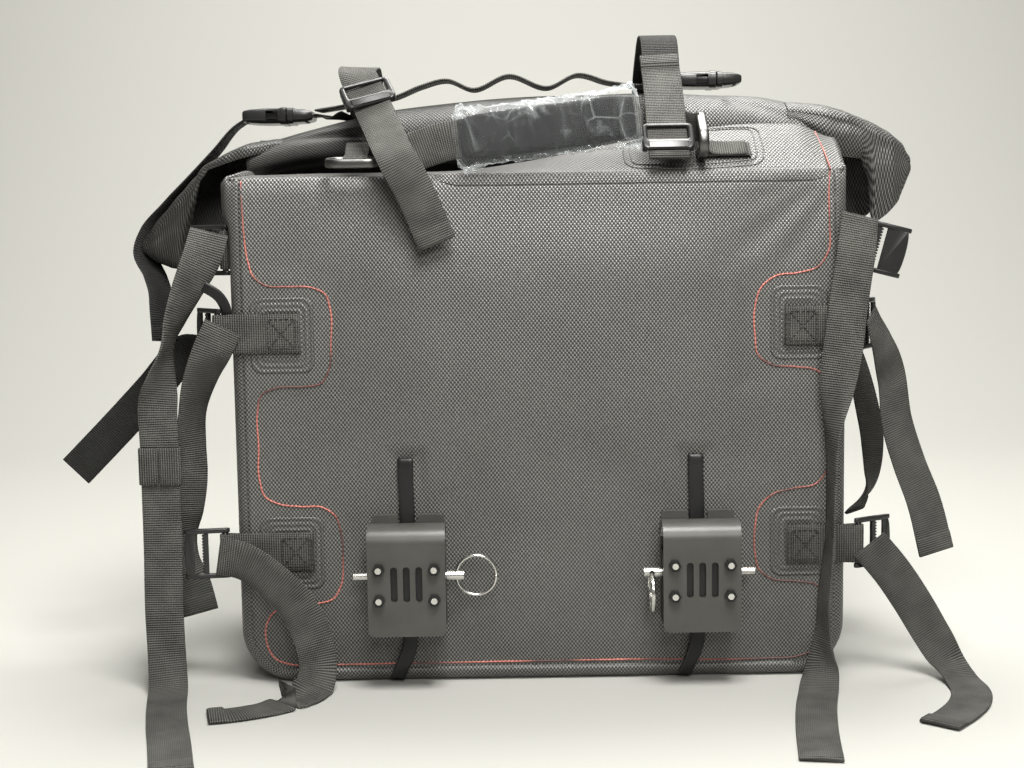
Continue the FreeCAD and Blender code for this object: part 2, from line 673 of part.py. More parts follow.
# ---------------------------------------------------------------- output
for name, shape in nodes.items():
    solids = shape.Solids
    valid = shape.isValid() and all(s.isClosed() for s in solids)
    print(name, "solids", len(solids), "valid", valid, "volume", round(shape.Volume, 1))
    shape.exportStep("parts/" + name + ".step")
print(len(nodes), "nodes")
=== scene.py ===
import json
import math

import bmesh
import bpy
import numpy as np
from mathutils import Matrix, Vector, noise


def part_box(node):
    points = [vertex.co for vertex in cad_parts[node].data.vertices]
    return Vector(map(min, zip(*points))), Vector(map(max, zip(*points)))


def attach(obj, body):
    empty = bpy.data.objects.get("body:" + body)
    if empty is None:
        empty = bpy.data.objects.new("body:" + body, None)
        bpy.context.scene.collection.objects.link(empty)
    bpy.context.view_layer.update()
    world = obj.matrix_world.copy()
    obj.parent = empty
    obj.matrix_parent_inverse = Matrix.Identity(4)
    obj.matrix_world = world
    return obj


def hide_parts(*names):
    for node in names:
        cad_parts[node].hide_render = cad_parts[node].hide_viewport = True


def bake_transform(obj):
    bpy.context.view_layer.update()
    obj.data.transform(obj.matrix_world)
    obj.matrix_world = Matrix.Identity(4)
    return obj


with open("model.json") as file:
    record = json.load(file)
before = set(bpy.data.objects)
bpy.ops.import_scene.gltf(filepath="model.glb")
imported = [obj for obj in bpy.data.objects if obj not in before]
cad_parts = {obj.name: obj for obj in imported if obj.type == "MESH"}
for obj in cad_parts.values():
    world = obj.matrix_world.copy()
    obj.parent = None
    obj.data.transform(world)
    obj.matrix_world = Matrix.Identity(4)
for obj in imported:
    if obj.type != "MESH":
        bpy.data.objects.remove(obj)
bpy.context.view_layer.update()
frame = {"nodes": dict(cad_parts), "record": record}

# Lengths below are in millimetres in the row frame and are turned into metres by MM. Lights, the
# backdrop, textures and the camera are in metres.
MM = 0.001
UP = None                   # heading of a strap whose width stands upright
WELD = 0.00001              # points nearer than this are one point, in metres
CRISP = 40.0                # degrees between two faces that are shaded as an edge
HOOKS = (-87.5, 102.0)      # x of the two rack hooks
BOLT_OFF = 17.75            # x from a hook's middle to its bolts
UPPER, LOWER = 233, 89.5    # heights of the compression straps
TAB_ROWS = (233, 89)        # heights where those straps hold the cloth
LOCK_X, LOCK_Y = 207.5, -102
KEEPER_Z, CINCH_Z = 149, 287
nodes = frame["nodes"]
scene = bpy.context.scene

# ---------------------------------------------------------------- camera
camera_data = bpy.data.cameras.new("camera")
camera_data.sensor_width = 36.0
camera_data.lens = 52.73
camera_data.clip_start = 0.05
camera = bpy.data.objects.new("camera", camera_data)
camera.matrix_world = (Matrix.Translation((-0.018, -1.0697, 0.2995))
                       @ Matrix.Rotation(math.radians(84.0), 4, "X")
                       @ Matrix.Rotation(math.radians(-0.9), 4, "Z"))
scene.collection.objects.link(camera)
scene.camera = camera
scene.view_settings.view_transform = "Standard"


# ---------------------------------------------------------------- materials
materials = {}


def material(name, colour, roughness, metallic=0.0, specular=0.5):
    """Adds a material to the table and returns its tree and its shader."""
    made = materials[name] = bpy.data.materials.new(name)
    made.use_nodes = True
    shader = made.node_tree.nodes["Principled BSDF"]
    shader.inputs["Base Color"].default_value = (*colour, 1.0)
    shader.inputs["Roughness"].default_value = roughness
    shader.inputs["Metallic"].default_value = metallic
    shader.inputs["Specular IOR Level"].default_value = specular
    return made.node_tree, shader


def node(tree, kind, **values):
    made = tree.nodes.new(kind)
    for key, value in values.items():
        setattr(made, key, value)
    return made


def maths(tree, operation, a, b=None):
    made = node(tree, "ShaderNodeMath", operation=operation)
    for socket, value in zip(made.inputs, (a, b)):
        if value is None:
            continue
        if isinstance(value, (int, float)):
            socket.default_value = value
        else:
            tree.links.new(value, socket)
    return made.outputs[0]


def mix_colour(tree, factor, first, second):
    made = node(tree, "ShaderNodeMix", data_type="RGBA")
    tree.links.new(factor, made.inputs[0])
    for socket, value in ((made.inputs[6], first), (made.inputs[7], second)):
        if isinstance(value, tuple):
            socket.default_value = (*value, 1.0)
        else:
            tree.links.new(value, socket)
    return made.outputs[2]


def noise_value(tree, scale, detail=2.0):
    place = node(tree, "ShaderNodeTexCoord")
    made = node(tree, "ShaderNodeTexNoise")
    made.inputs["Scale"].default_value = scale
    made.inputs["Detail"].default_value = detail
    tree.links.new(place.outputs["Object"], made.inputs["Vector"])
    return made.outputs["Fac"]


def bump(tree, shader, height, strength, distance):
    made = node(tree, "ShaderNodeBump")
    made.inputs["Strength"].default_value = strength
    made.inputs["Distance"].default_value = distance
    tree.links.new(height, made.inputs["Height"])
    tree.links.new(made.outputs["Normal"], shader.inputs["Normal"])


def uv_wave(tree, axis, pitch):
    """Cosine along one UV axis, from -1 to 1, with the pitch in metres."""
    uv = node(tree, "ShaderNodeUVMap", uv_map="UVMap")
    split = node(tree, "ShaderNodeSeparateXYZ")
    tree.links.new(uv.outputs[0], split.inputs[0])
    turns = maths(tree, "MULTIPLY", split.outputs[axis], 2 * math.pi / pitch)
    return maths(tree, "COSINE", turns)


def ramp(tree, value, low, high):
    made = node(tree, "ShaderNodeMapRange")
    made.inputs["From Min"].default_value = low
    made.inputs["From Max"].default_value = high
    tree.links.new(value, made.inputs["Value"])
    return made.outputs[0]


def coated_fabric(name, dark, light, roughness, fade=None):
    """Coated dobby weave: small raised grains in a brick pattern, with painted highlights on the
    grains and painted shade between them. fade is a pair of x places in metres: the cloth is
    painted darker towards the first, as painted shade."""
    tree, shader = material(name, light, roughness, specular=1.0)
    grains = maths(tree, "MULTIPLY", uv_wave(tree, 0, 0.0024), uv_wave(tree, 1, 0.0030))
    fine = noise_value(tree, 900.0, 1.0)
    grains = maths(tree, "ADD", grains, maths(tree, "MULTIPLY", fine, 0.5))
    # Painted highlights and painted shade: raised grains are painted lighter, the ground between
    # them darker.
    tone = ramp(tree, grains, -0.15, 0.95)
    blotch = ramp(tree, noise_value(tree, 22.0, 4.0), 0.3, 0.7)
    tone = maths(tree, "ADD", maths(tree, "MULTIPLY", tone, 0.93),
                 maths(tree, "MULTIPLY", blotch, 0.07))
    # Painted shade: the tone is darkened towards the first x place of fade.
    if fade is not None:
        place = node(tree, "ShaderNodeSeparateXYZ")
        tree.links.new(node(tree, "ShaderNodeTexCoord").outputs["Object"], place.inputs[0])
        share = maths(tree, "MULTIPLY", ramp(tree, place.outputs["X"], *fade), 0.62)
        tone = maths(tree, "MULTIPLY", tone, maths(tree, "ADD", share, 0.38))
    tree.links.new(mix_colour(tree, tone, dark, light), shader.inputs["Base Color"])
    gloss = maths(tree, "ADD", maths(tree, "MULTIPLY", tone, 1.2), 0.25)
    tree.links.new(gloss, shader.inputs["Specular IOR Level"])
    bump(tree, shader, grains, 0.6, 0.0003)


def ribbed_webbing(name, dark, light):
    """Woven strap with ribs across it, with painted highlights on the ribs and painted shade
    between them.
    """
    tree, shader = material(name, light, 0.6, specular=0.25)
    ribs = uv_wave(tree, 0, 0.0015)
    threads = uv_wave(tree, 1, 0.0011)
    weave = maths(tree, "ADD", ribs, maths(tree, "MULTIPLY", threads, 0.45))
    # Painted highlights and painted shade: raised ribs are painted lighter, the grooves between
    # them darker.
    tone = ramp(tree, weave, -1.2, 1.3)
    blotch = ramp(tree, noise_value(tree, 60.0, 3.0), 0.3, 0.7)
    tone = maths(tree, "ADD", maths(tree, "MULTIPLY", tone, 0.75),
                 maths(tree, "MULTIPLY", blotch, 0.25))
    tree.links.new(mix_colour(tree, tone, dark, light), shader.inputs["Base Color"])
    bump(tree, shader, weave, 0.9, 0.00032)


def grained(name, colour, roughness, grain=700.0, depth=0.00006, specular=0.5):
    """Plain surface with a fine grain and faint blotches."""
    tree, shader = material(name, colour, roughness, specular=specular)
    value = noise_value(tree, grain, 2.0)
    lighter = tuple(min(1.0, c * 1.25 + 0.004) for c in colour)
    tone = ramp(tree, noise_value(tree, 45.0, 4.0), 0.3, 0.7)
    tree.links.new(mix_colour(tree, tone, colour, lighter), shader.inputs["Base Color"])
    bump(tree, shader, value, 0.4, depth)


def worn_piping(name):
    """Twisted coral piping with darker worn lengths."""
    tree, shader = material(name, (0.45, 0.13, 0.10), 0.6)
    worn = ramp(tree, noise_value(tree, 17.0, 4.0), 0.42, 0.56)
    twist = ramp(tree, uv_wave(tree, 0, 0.0028), -1.0, 0.2)
    coral = mix_colour(tree, twist, (0.34, 0.085, 0.065), (0.58, 0.20, 0.165))
    tree.links.new(mix_colour(tree, worn, coral, (0.10, 0.045, 0.04)), shader.inputs["Base Color"])


def clear_film(name):
    """Thin crinkled film: mostly see-through, with glossy creases, and painted highlights in its
    opacity: pale streaks along the creases and a pale rim where it turns away.
    """
    tree, shader = material(name, (0.80, 0.85, 0.87), 0.10, specular=0.7)
    shader.inputs["IOR"].default_value = 1.5
    crease = noise_value(tree, 70.0, 4.0)
    bump(tree, shader, crease, 0.8, 0.0012)
    edge = node(tree, "ShaderNodeLayerWeight")
    edge.inputs["Blend"].default_value = 0.35
    # Painted highlights: pale streaks along the creases and along the edges of the facets.
    painted_glints = maths(tree, "MULTIPLY", ramp(tree, crease, 0.58, 0.70), 0.16)
    facets = node(tree, "ShaderNodeTexVoronoi", feature="DISTANCE_TO_EDGE")
    facets.inputs["Scale"].default_value = 62.0
    tree.links.new(node(tree, "ShaderNodeTexCoord").outputs["Object"], facets.inputs["Vector"])
    lines = maths(tree, "MULTIPLY", ramp(tree, facets.outputs["Distance"], 0.05, 0.0), 0.16)
    lines = maths(tree, "MULTIPLY", lines, ramp(tree, noise_value(tree, 30.0, 2.0), 0.42, 0.60))
    painted_glints = maths(tree, "ADD", painted_glints, lines)
    # Painted sheen: the film is paler where it turns away from the view.
    rim = maths(tree, "MULTIPLY", edge.outputs["Facing"], 0.30)
    tree.links.new(maths(tree, "ADD", maths(tree, "ADD", painted_glints, rim), 0.04), shader.inputs["Alpha"])


coated_fabric("shell_fabric", (0.028, 0.028, 0.026), (0.150, 0.149, 0.141), 0.42)
# The roll's cloth is the shell fabric painted darker, and darker still towards the left: painted
# shade where the roll lies in shadow.
coated_fabric("roll_fabric_painted_shade", (0.012, 0.012, 0.011), (0.130, 0.129, 0.122), 0.42, (-0.08, 0.14))
grained("liner_film", (0.16, 0.16, 0.155), 0.42, 60.0, 0.0009)
grained("board", (0.03, 0.03, 0.03), 0.7)
worn_piping("piping")
coated_fabric("patch_fabric", (0.040, 0.040, 0.038), (0.110, 0.109, 0.103), 0.38)
ribbed_webbing("webbing", (0.005, 0.005, 0.0045), (0.158, 0.156, 0.143))
# Near-black webbing: painted shade for the rear left tail and the roll's left strap, which lie in
# shadow; it also makes the upper part of the right over strap darker.
ribbed_webbing("black_webbing_painted_shade", (0.003, 0.003, 0.003), (0.030, 0.030, 0.028))
# Webbing painted darker, as painted shade, for straps that lie in shadow.
ribbed_webbing("painted_shade_webbing", (0.004, 0.004, 0.0035), (0.075, 0.074, 0.066))
grained("grip_foam", (0.006, 0.006, 0.006), 0.8, 1200.0, 0.0001, specular=0.12)
grained("buckle_plastic", (0.014, 0.014, 0.014), 0.26, 500.0, 0.00002, specular=0.45)
grained("mount_plastic", (0.05, 0.049, 0.044), 0.36, 1400.0, 0.00008)
grained("block_plastic", (0.34, 0.34, 0.33), 0.5)
material("steel", (0.64, 0.63, 0.60), 0.24, 1.0)
material("dark_metal", (0.15, 0.15, 0.145), 0.36, 1.0)
grained("rubber", (0.008, 0.008, 0.008), 0.38, 600.0, 0.00003, specular=0.35)
clear_film("film")
grained("thread", (0.035, 0.034, 0.03), 0.8)


# ---------------------------------------------------------------- mesh helpers
def linked(name, data):
    obj = bpy.data.objects.new(name, data)
    scene.collection.objects.link(obj)
    return obj


def shaded_smooth(obj):
    obj.data.polygons.foreach_set("use_smooth", [True] * len(obj.data.polygons))


def add(name, verts, faces, uvs=None):
    """Mesh object from points in millimetres. uvs has one pair per face corner, in metres."""
    mesh = bpy.data.meshes.new(name)
    mesh.from_pydata([tuple(np.asarray(v, float) * MM) for v in verts], [],
                     [tuple(f) for f in faces])
    layer = mesh.uv_layers.new(name="UVMap")
    if uvs is not None:
        layer.data.foreach_set("uv", np.asarray(uvs, np.float32).ravel())
    obj = linked(name, mesh)
    shaded_smooth(obj)
    return obj


def grid(name, rows, u, v, closed=False, caps=False):
    """Quads over an array (n, m, 3) of points. u and v are metres for each point, (n, m) or
    (n, m + 1) where the columns close into rings."""
    rows = np.asarray(rows, float)
    n, m = rows.shape[:2]
    wide = m + 1 if closed else m
    u = np.broadcast_to(np.asarray(u, float), (n, wide))
    v = np.broadcast_to(np.asarray(v, float), (n, wide))
    faces, uvs = [], []
    for i in range(n - 1):
        for j in range(wide - 1):
            k = (j + 1) % m
            faces.append((i * m + j, i * m + k, (i + 1) * m + k, (i + 1) * m + j))
            uvs += [(u[i, j], v[i, j]), (u[i, j + 1], v[i, j + 1]),
                    (u[i + 1, j + 1], v[i + 1, j + 1]), (u[i + 1, j], v[i + 1, j])]
    if caps:
        faces.append(tuple(reversed(range(m))))
        uvs += [(u[0, j], v[0, j]) for j in reversed(range(m))]
        faces.append(tuple((n - 1) * m + j for j in range(m)))
        uvs += [(u[-1, j], v[-1, j]) for j in range(m)]
    obj = add(name, rows.reshape(-1, 3), faces, uvs)
    if closed:
        outward(obj)
    return obj


def outward(obj, weld=False):
    """Turns every face outwards, after joining points that lie together where weld is asked for."""
    mesh = bmesh.new()
    mesh.from_mesh(obj.data)
    if weld:
        bmesh.ops.remove_doubles(mesh, verts=mesh.verts, dist=WELD)
    bmesh.ops.recalc_face_normals(mesh, faces=mesh.faces)
    mesh.to_mesh(obj.data)
    mesh.free()


def baked(obj):
    """Applies every modifier."""
    bpy.context.view_layer.update()
    evaluated = obj.evaluated_get(bpy.context.evaluated_depsgraph_get())
    mesh = bpy.data.meshes.new_from_object(evaluated)
    obj.modifiers.clear()
    obj.data = mesh
    return obj


def thick(obj, amount, offset=-1.0):
    modifier = obj.modifiers.new("thick", "SOLIDIFY")
    modifier.thickness = amount * MM
    modifier.offset = offset
    modifier.use_rim = True
    modifier.use_even_offset = True
    return baked(obj)


def bevelled(obj, width, segments=2, angle=35.0):
    modifier = obj.modifiers.new("bevel", "BEVEL")
    modifier.width = width * MM
    modifier.segments = segments
    modifier.limit_method = "ANGLE"
    modifier.angle_limit = math.radians(angle)
    modifier.harden_normals = False
    return obj


def dress(obj, slot, body=None, look=None, replaces=()):
    obj.data.materials.clear()
    obj.data.materials.append(materials[look or slot])
    if body is not None:
        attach(obj, body)
    if replaces:
        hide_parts(*replaces)
    return obj


def smooth(value, low, high):
    """0 below low, 1 above high, with an eased rise between them."""
    t = min(1.0, max(0.0, (value - low) / (high - low)))
    return t * t * (3 - 2 * t)


def boxy(value, power):
    """Cosine or sine bent towards a square: a ring drawn with it is a rounded box."""
    return math.copysign(abs(value) ** power, value)


def wobble(x, y, z, size, seed=0.0):
    """Smooth noise from -1 to 1 with features of the given size in millimetres."""
    return noise.noise(Vector((x / size + seed, y / size - seed, z / size + 2 * seed)))


def curve_through(points, step):
    """Smooth curve through the points, sampled evenly. Columns after the third, such as the
    direction of a strap's width, go along with it."""
    points = np.asarray(points, float)
    gaps = np.maximum(np.linalg.norm(np.diff(points[:, :3], axis=0), axis=1), 1e-6)
    at = np.concatenate([[0], np.cumsum(gaps)])
    slopes = np.zeros_like(points)
    for i in range(len(points)):
        if i == 0:
            slopes[i] = (points[1] - points[0]) / gaps[0]
        elif i == len(points) - 1:
            slopes[i] = (points[-1] - points[-2]) / gaps[-1]
        else:
            before = (points[i] - points[i - 1]) / gaps[i - 1]
            after = (points[i + 1] - points[i]) / gaps[i]
            slopes[i] = (before * gaps[i] + after * gaps[i - 1]) / (gaps[i] + gaps[i - 1])
    count = max(4, int(at[-1] / step) + 1)
    out = []
    for s in np.linspace(0, at[-1], count):
        i = min(len(gaps) - 1, int(np.searchsorted(at, s, side="right")) - 1)
        t = (s - at[i]) / gaps[i]
        h00, h10 = 2 * t**3 - 3 * t**2 + 1, t**3 - 2 * t**2 + t
        h01, h11 = -2 * t**3 + 3 * t**2, t**3 - t**2
        out.append(h00 * points[i] + h10 * gaps[i] * slopes[i] + h01 * points[i + 1]
                   + h11 * gaps[i] * slopes[i + 1])
    return np.array(out)


def running_length(points):
    return np.concatenate([[0], np.cumsum(np.linalg.norm(np.diff(points, axis=0), axis=1))])


strap_lengths = {}


def webbing(name, body, stations, width=25.0, thickness=1.5, hem_start=0.0, hem_end=0.0, hem_side=1,
            replaces=(), slot="webbing", look=None, step=1.6):
    """Flat woven strap through stations (x, y, z, heading). The heading is the plan direction, in
    degrees, of the strap's width, UP for upright, or a direction of its own. The hems are lengths
    that are folded back on the side hem_side. No strap goes lower than floor."""
    floor = 0.35
    table = []
    for x, y, z, heading in stations:
        if heading is UP:
            across = (0, 0, 1)
        elif isinstance(heading, tuple):
            across = tuple(Vector(heading).normalized())
        else:
            across = (math.cos(math.radians(heading)), math.sin(math.radians(heading)), 0)
        table.append((x, y, z, *across))
    line = curve_through(table, step)
    p = line[:, :3]
    tangent = np.gradient(p, axis=0)
    tangent /= np.linalg.norm(tangent, axis=1)[:, None]
    across = line[:, 3:]
    across = across - tangent * (across * tangent).sum(1)[:, None]
    across /= np.linalg.norm(across, axis=1)[:, None]
    normal = np.cross(tangent, across)
    s = running_length(p)
    strap_lengths[name] = round(float(s[-1]))
    half, t = width / 2, thickness / 2
    profile = [(-half, -0.35), (-half + 0.5, -0.95), (-half * 0.5, -1), (0, -1), (half * 0.5, -1),
               (half - 0.5, -0.95), (half, -0.35), (half, 0.35), (half - 0.5, 0.95),
               (half * 0.5, 1), (0, 1), (-half * 0.5, 1), (-half + 0.5, 0.95), (-half, 0.35)]
    rows = []
    for i in range(len(p)):
        hemmed = (hem_start and s[i] < hem_start) or (hem_end and s[i] > s[-1] - hem_end)
        ring = []
        for a, b in profile:
            rise = b * t
            if hemmed and b * hem_side > 0:
                rise = b * t * 2.9
            if i in (0, len(p) - 1):
                rise *= 0.72
            ring.append(p[i] + across[i] * a + normal[i] * rise)
        lowest = min(q[2] for q in ring)
        if lowest < floor:
            ring = [q + np.array([0, 0, floor - lowest]) for q in ring]
        rows.append(ring)
    around = running_length(np.array([(a, b * t) for a, b in profile + profile[:1]]))
    obj = grid(name, rows, s[:, None] * MM, around[None, :] * MM, closed=True, caps=True)
    return dress(obj, slot, body, look, replaces)


def bar(start, end, radius, sides):
    """Rod with chamfered ends, as points and faces."""
    start, end = np.asarray(start, float), np.asarray(end, float)
    axis = end - start
    length = np.linalg.norm(axis)
    axis /= length
    other = np.array([0, 0, 1.0]) if abs(axis[2]) < 0.9 else np.array([1.0, 0, 0])
    a = np.cross(axis, other)
    a /= np.linalg.norm(a)
    b = np.cross(axis, a)
    ease = min(radius * 0.6, length * 0.3)
    verts, faces = [], []
    for along, r in ((0, radius * 0.55), (ease, radius), (length - ease, radius),
                     (length, radius * 0.55)):
        for k in range(sides):
            turn = 2 * math.pi * k / sides
            verts.append(start + axis * along + (a * math.cos(turn) + b * math.sin(turn)) * r)
    for ring in range(3):
        for k in range(sides):
            j = (k + 1) % sides
            faces.append((ring * sides + k, ring * sides + j, (ring + 1) * sides + j,
                          (ring + 1) * sides + k))
    faces.append(tuple(reversed(range(sides))))
    faces.append(tuple(3 * sides + k for k in range(sides)))
    return verts, faces


def stitches(name, body, lines):
    """Rows of threads along polylines in millimetres."""
    radius, length, pitch = 0.38, 2.3, 3.1
    verts, faces = [], []
    for line in lines:
        line = np.asarray(line, float)
        s = running_length(line)
        count = max(1, int(s[-1] / pitch))
        for k in range(count):
            middle = (k + 0.5) * s[-1] / count
            ends = [[np.interp(middle + side * length / 2, s, line[:, c]) for c in range(3)]
                    for side in (-1, 1)]
            more_verts, more_faces = bar(ends[0], ends[1], radius, 6)
            faces += [tuple(i + len(verts) for i in f) for f in more_faces]
            verts += more_verts
    obj = add(name, verts, faces)
    outward(obj)
    return dress(obj, "webbing", body, "thread")


def cord_tube(name, body, points, radius, slot, step=1.2, twist=0.0, replaces=()):
    """Round piping along points in millimetres. twist is the depth of its laid strands."""
    sides, lay = 10, 2.4
    line = curve_through([(*q, 0) for q in points], step)[:, :3]
    tangent = np.gradient(line, axis=0)
    tangent /= np.linalg.norm(tangent, axis=1)[:, None]
    up = np.array([0, 1.0, 0]) if abs(tangent[0][1]) < 0.8 else np.array([0, 0, 1.0])
    rows = []
    s = running_length(line)
    for i in range(len(line)):
        a = np.cross(tangent[i], up)
        a /= np.linalg.norm(a)
        b = np.cross(tangent[i], a)
        up = b * (-1 if np.dot(b, up) < 0 else 1)
        b = np.cross(a, tangent[i])
        r = radius * (1 + twist * math.cos(2 * math.pi * s[i] / lay))
        rows.append([line[i] + (a * math.cos(q) + b * math.sin(q)) * r
                     for q in np.linspace(0, 2 * math.pi, sides, endpoint=False)])
    around = np.linspace(0, 2 * math.pi * radius, sides + 1)
    obj = grid(name, rows, s[:, None] * MM, around[None, :] * MM, closed=True, caps=True)
    return dress(obj, slot, body, replaces=replaces)


def block(name, corners_low, corners_high, ease):
    """Box with eased edges."""
    x0, y0, z0 = corners_low
    x1, y1, z1 = corners_high
    verts = [(x, y, z) for x in (x0, x1) for y in (y0, y1) for z in (z0, z1)]
    faces = [(0, 1, 3, 2), (4, 6, 7, 5), (0, 4, 5, 1), (2, 3, 7, 6), (0, 2, 6, 4), (1, 5, 7, 3)]
    obj = add(name, verts, faces)
    outward(obj)
    if ease:
        baked(bevelled(obj, ease))
    return obj


def rounded_rectangle(x0, x1, z0, z1, radius):
    points, count = [], 6
    for cx, cz, start in ((x1 - radius, z1 - radius, 0), (x0 + radius, z1 - radius, 90),
                          (x0 + radius, z0 + radius, 180), (x1 - radius, z0 + radius, 270)):
        for k in range(count + 1):
            a = math.radians(start + 90 * k / count)
            points.append((cx + radius * math.cos(a), cz + radius * math.sin(a)))
    return points


def moved(obj, matrix):
    obj.data.transform(matrix)
    return obj


def flat_plate(name, outline_points, holes, thickness, ease, standing=False, offset=(0, 0, 0)):
    """Plate with holes and rounded edges, in the local XY plane, or in XZ when standing."""
    curve = bpy.data.curves.new(name, "CURVE")
    curve.dimensions = "2D"
    curve.fill_mode = "BOTH"
    curve.extrude = (thickness / 2 - ease) * MM
    curve.bevel_depth = ease * MM
    curve.bevel_resolution = 2
    curve.offset = -ease * MM
    for points in (outline_points, *holes):
        spline = curve.splines.new("POLY")
        spline.points.add(len(points) - 1)
        for point, (x, y) in zip(spline.points, points):
            point.co = (x * MM, y * MM, 0, 1)
        spline.use_cyclic_u = True
    drawn = linked(name, curve)
    bpy.context.view_layer.update()
    evaluated = drawn.evaluated_get(bpy.context.evaluated_depsgraph_get())
    mesh = bpy.data.meshes.new_from_object(evaluated)
    bpy.data.objects.remove(drawn)
    obj = linked(name, mesh)
    outward(obj, weld=True)
    turn = Matrix.Rotation(math.pi / 2, 4, "X") if standing else Matrix()
    return moved(obj, Matrix.Translation(Vector(offset) * MM) @ turn)


def rod(name, start, end, radius):
    verts, faces = bar(start, end, radius, 24)
    obj = add(name, verts, faces)
    outward(obj)
    return obj


def combined(first, others, operation="UNION"):
    """First piece with the others added to it or cut from it."""
    for other in others:
        modifier = first.modifiers.new("join", "BOOLEAN")
        modifier.operation = operation
        modifier.solver = "EXACT"
        modifier.object = other
    baked(first)
    for other in others:
        bpy.data.objects.remove(other)
    return first


def finished(obj, node_name, body):
    """Hard plastic piece that takes the place of a designed one."""
    shaded_smooth(obj)
    obj.data.set_sharp_from_angle(angle=math.radians(CRISP))
    return dress(obj, "buckle_plastic", body, replaces=(node_name,))


def loft(name, sections):
    """Solid through upright sections (x, y, z, half width in y, half height in z)."""
    power, count = 0.45, 40
    rows = []
    for x, y, z, wide, high in sections:
        ring = []
        for k in range(count):
            a = 2 * math.pi * k / count
            c, t = math.cos(a), math.sin(a)
            ring.append((x, y + wide * boxy(c, power), z + high * boxy(t, power)))
        rows.append(ring)
    return grid(name, rows, 0.0, 0.0, closed=True, caps=True)


# ---------------------------------------------------------------- bag shell
HALF, DEPTH, CREASE, OUTER = 200.0, 100.0, 333.0, 320.0
CORNER = 36.0               # radius of the lower corners, seen from the face
EDGE = 8.0                  # radius of the long edges
FABRIC = 1.6                # thickness of the panels
THIN_FABRIC = 1.4


def outline(inset, top_left, top_right):
    """Points (x, z) of the face's outline: upper left, round the bottom, upper right."""
    w, r = HALF - inset, CORNER - inset
    side, across = 60, 64
    points = [(-w, top_left + (CORNER - top_left) * k / side) for k in range(side)]
    points += [(-w + r - r * math.cos(a), inset + r - r * math.sin(a))
               for a in np.linspace(0, math.pi / 2, 14)]
    points += [(-w + r + (2 * w - 2 * r) * k / across, inset) for k in range(1, across)]
    points += [(w - r + r * math.sin(a), inset + r - r * math.cos(a))
               for a in np.linspace(0, math.pi / 2, 14)]
    points += [(w, CORNER + (top_right - CORNER) * k / side) for k in range(1, side + 1)]
    return points


def quiet(x, z):
    """1 where the face is free to move, 0 near tabs and hooks."""
    free = 1.0
    for height in TAB_ROWS:
        for side in (-1, 1):
            near = max(abs(x - side * 172) - 32, abs(z - height) - 30)
            free = min(free, smooth(near, 0, 16))
    for centre in HOOKS:
        near = max(abs(x - centre) - 27, abs(z - 76) - 40)
        free = min(free, smooth(near, 0, 18))
        near = max(abs(x - centre) - 7, abs(z - 76) - 74)
        free = min(free, smooth(near, 0, 8))
    return free


def face_offset(x, z):
    """How far the bike-side face stands back from its flat plane, negative towards the bike."""
    bulge = 4.2 * smooth(z, 100, 215) * (1 - smooth(z, 262, 330)) * (1 - smooth(abs(x), 60, 165))
    bulge += 1.4 * (1 - smooth(abs(x - 7), 20, 60)) * smooth(z, 8, 60) * (1 - smooth(z, 110, 170))
    dent = 1.1 * wobble(x, 0, z, 95, 3.1) + 0.45 * wobble(x, 0, z, 38, 8.3)
    for angle, shift, size, reach in ((218, 0, 1.7, 120), (236, 3, 1.3, 100), (204, -3, 1.2, 95)):
        a = math.radians(angle)
        dx, dz = x - 196, z - 334
        along = dx * math.cos(a) + dz * math.sin(a)
        beside = -dx * math.sin(a) + dz * math.cos(a) - shift
        if along > 0:
            width = 3.5 + along * 0.09
            dent += (size * math.exp(-(beside / width) ** 2) * smooth(along, 4, 30)
                     * (1 - smooth(along, reach * 0.5, reach)))
    shoulder = 7.0 * smooth(z, 236, CREASE + 30) ** 2 + 2.4 * smooth(z, 318, CREASE + 3) ** 2
    free = quiet(x, z)
    return (dent - bulge) * free + shoulder * (0.35 + 0.65 * free) + 1.8 * (1 - smooth(z, 0, 34))


def side_top(y, side):
    """Height of the gusset's upper edge."""
    high = 352.0 if side > 0 else 339.0
    if y < -60:
        return CREASE + (high - CREASE) * smooth(y, -100, -60)
    if y < 0:
        return high + (322 - high) * smooth(y, -60, -15)
    return 322 + (OUTER - 322) * smooth(y, 0, 95)


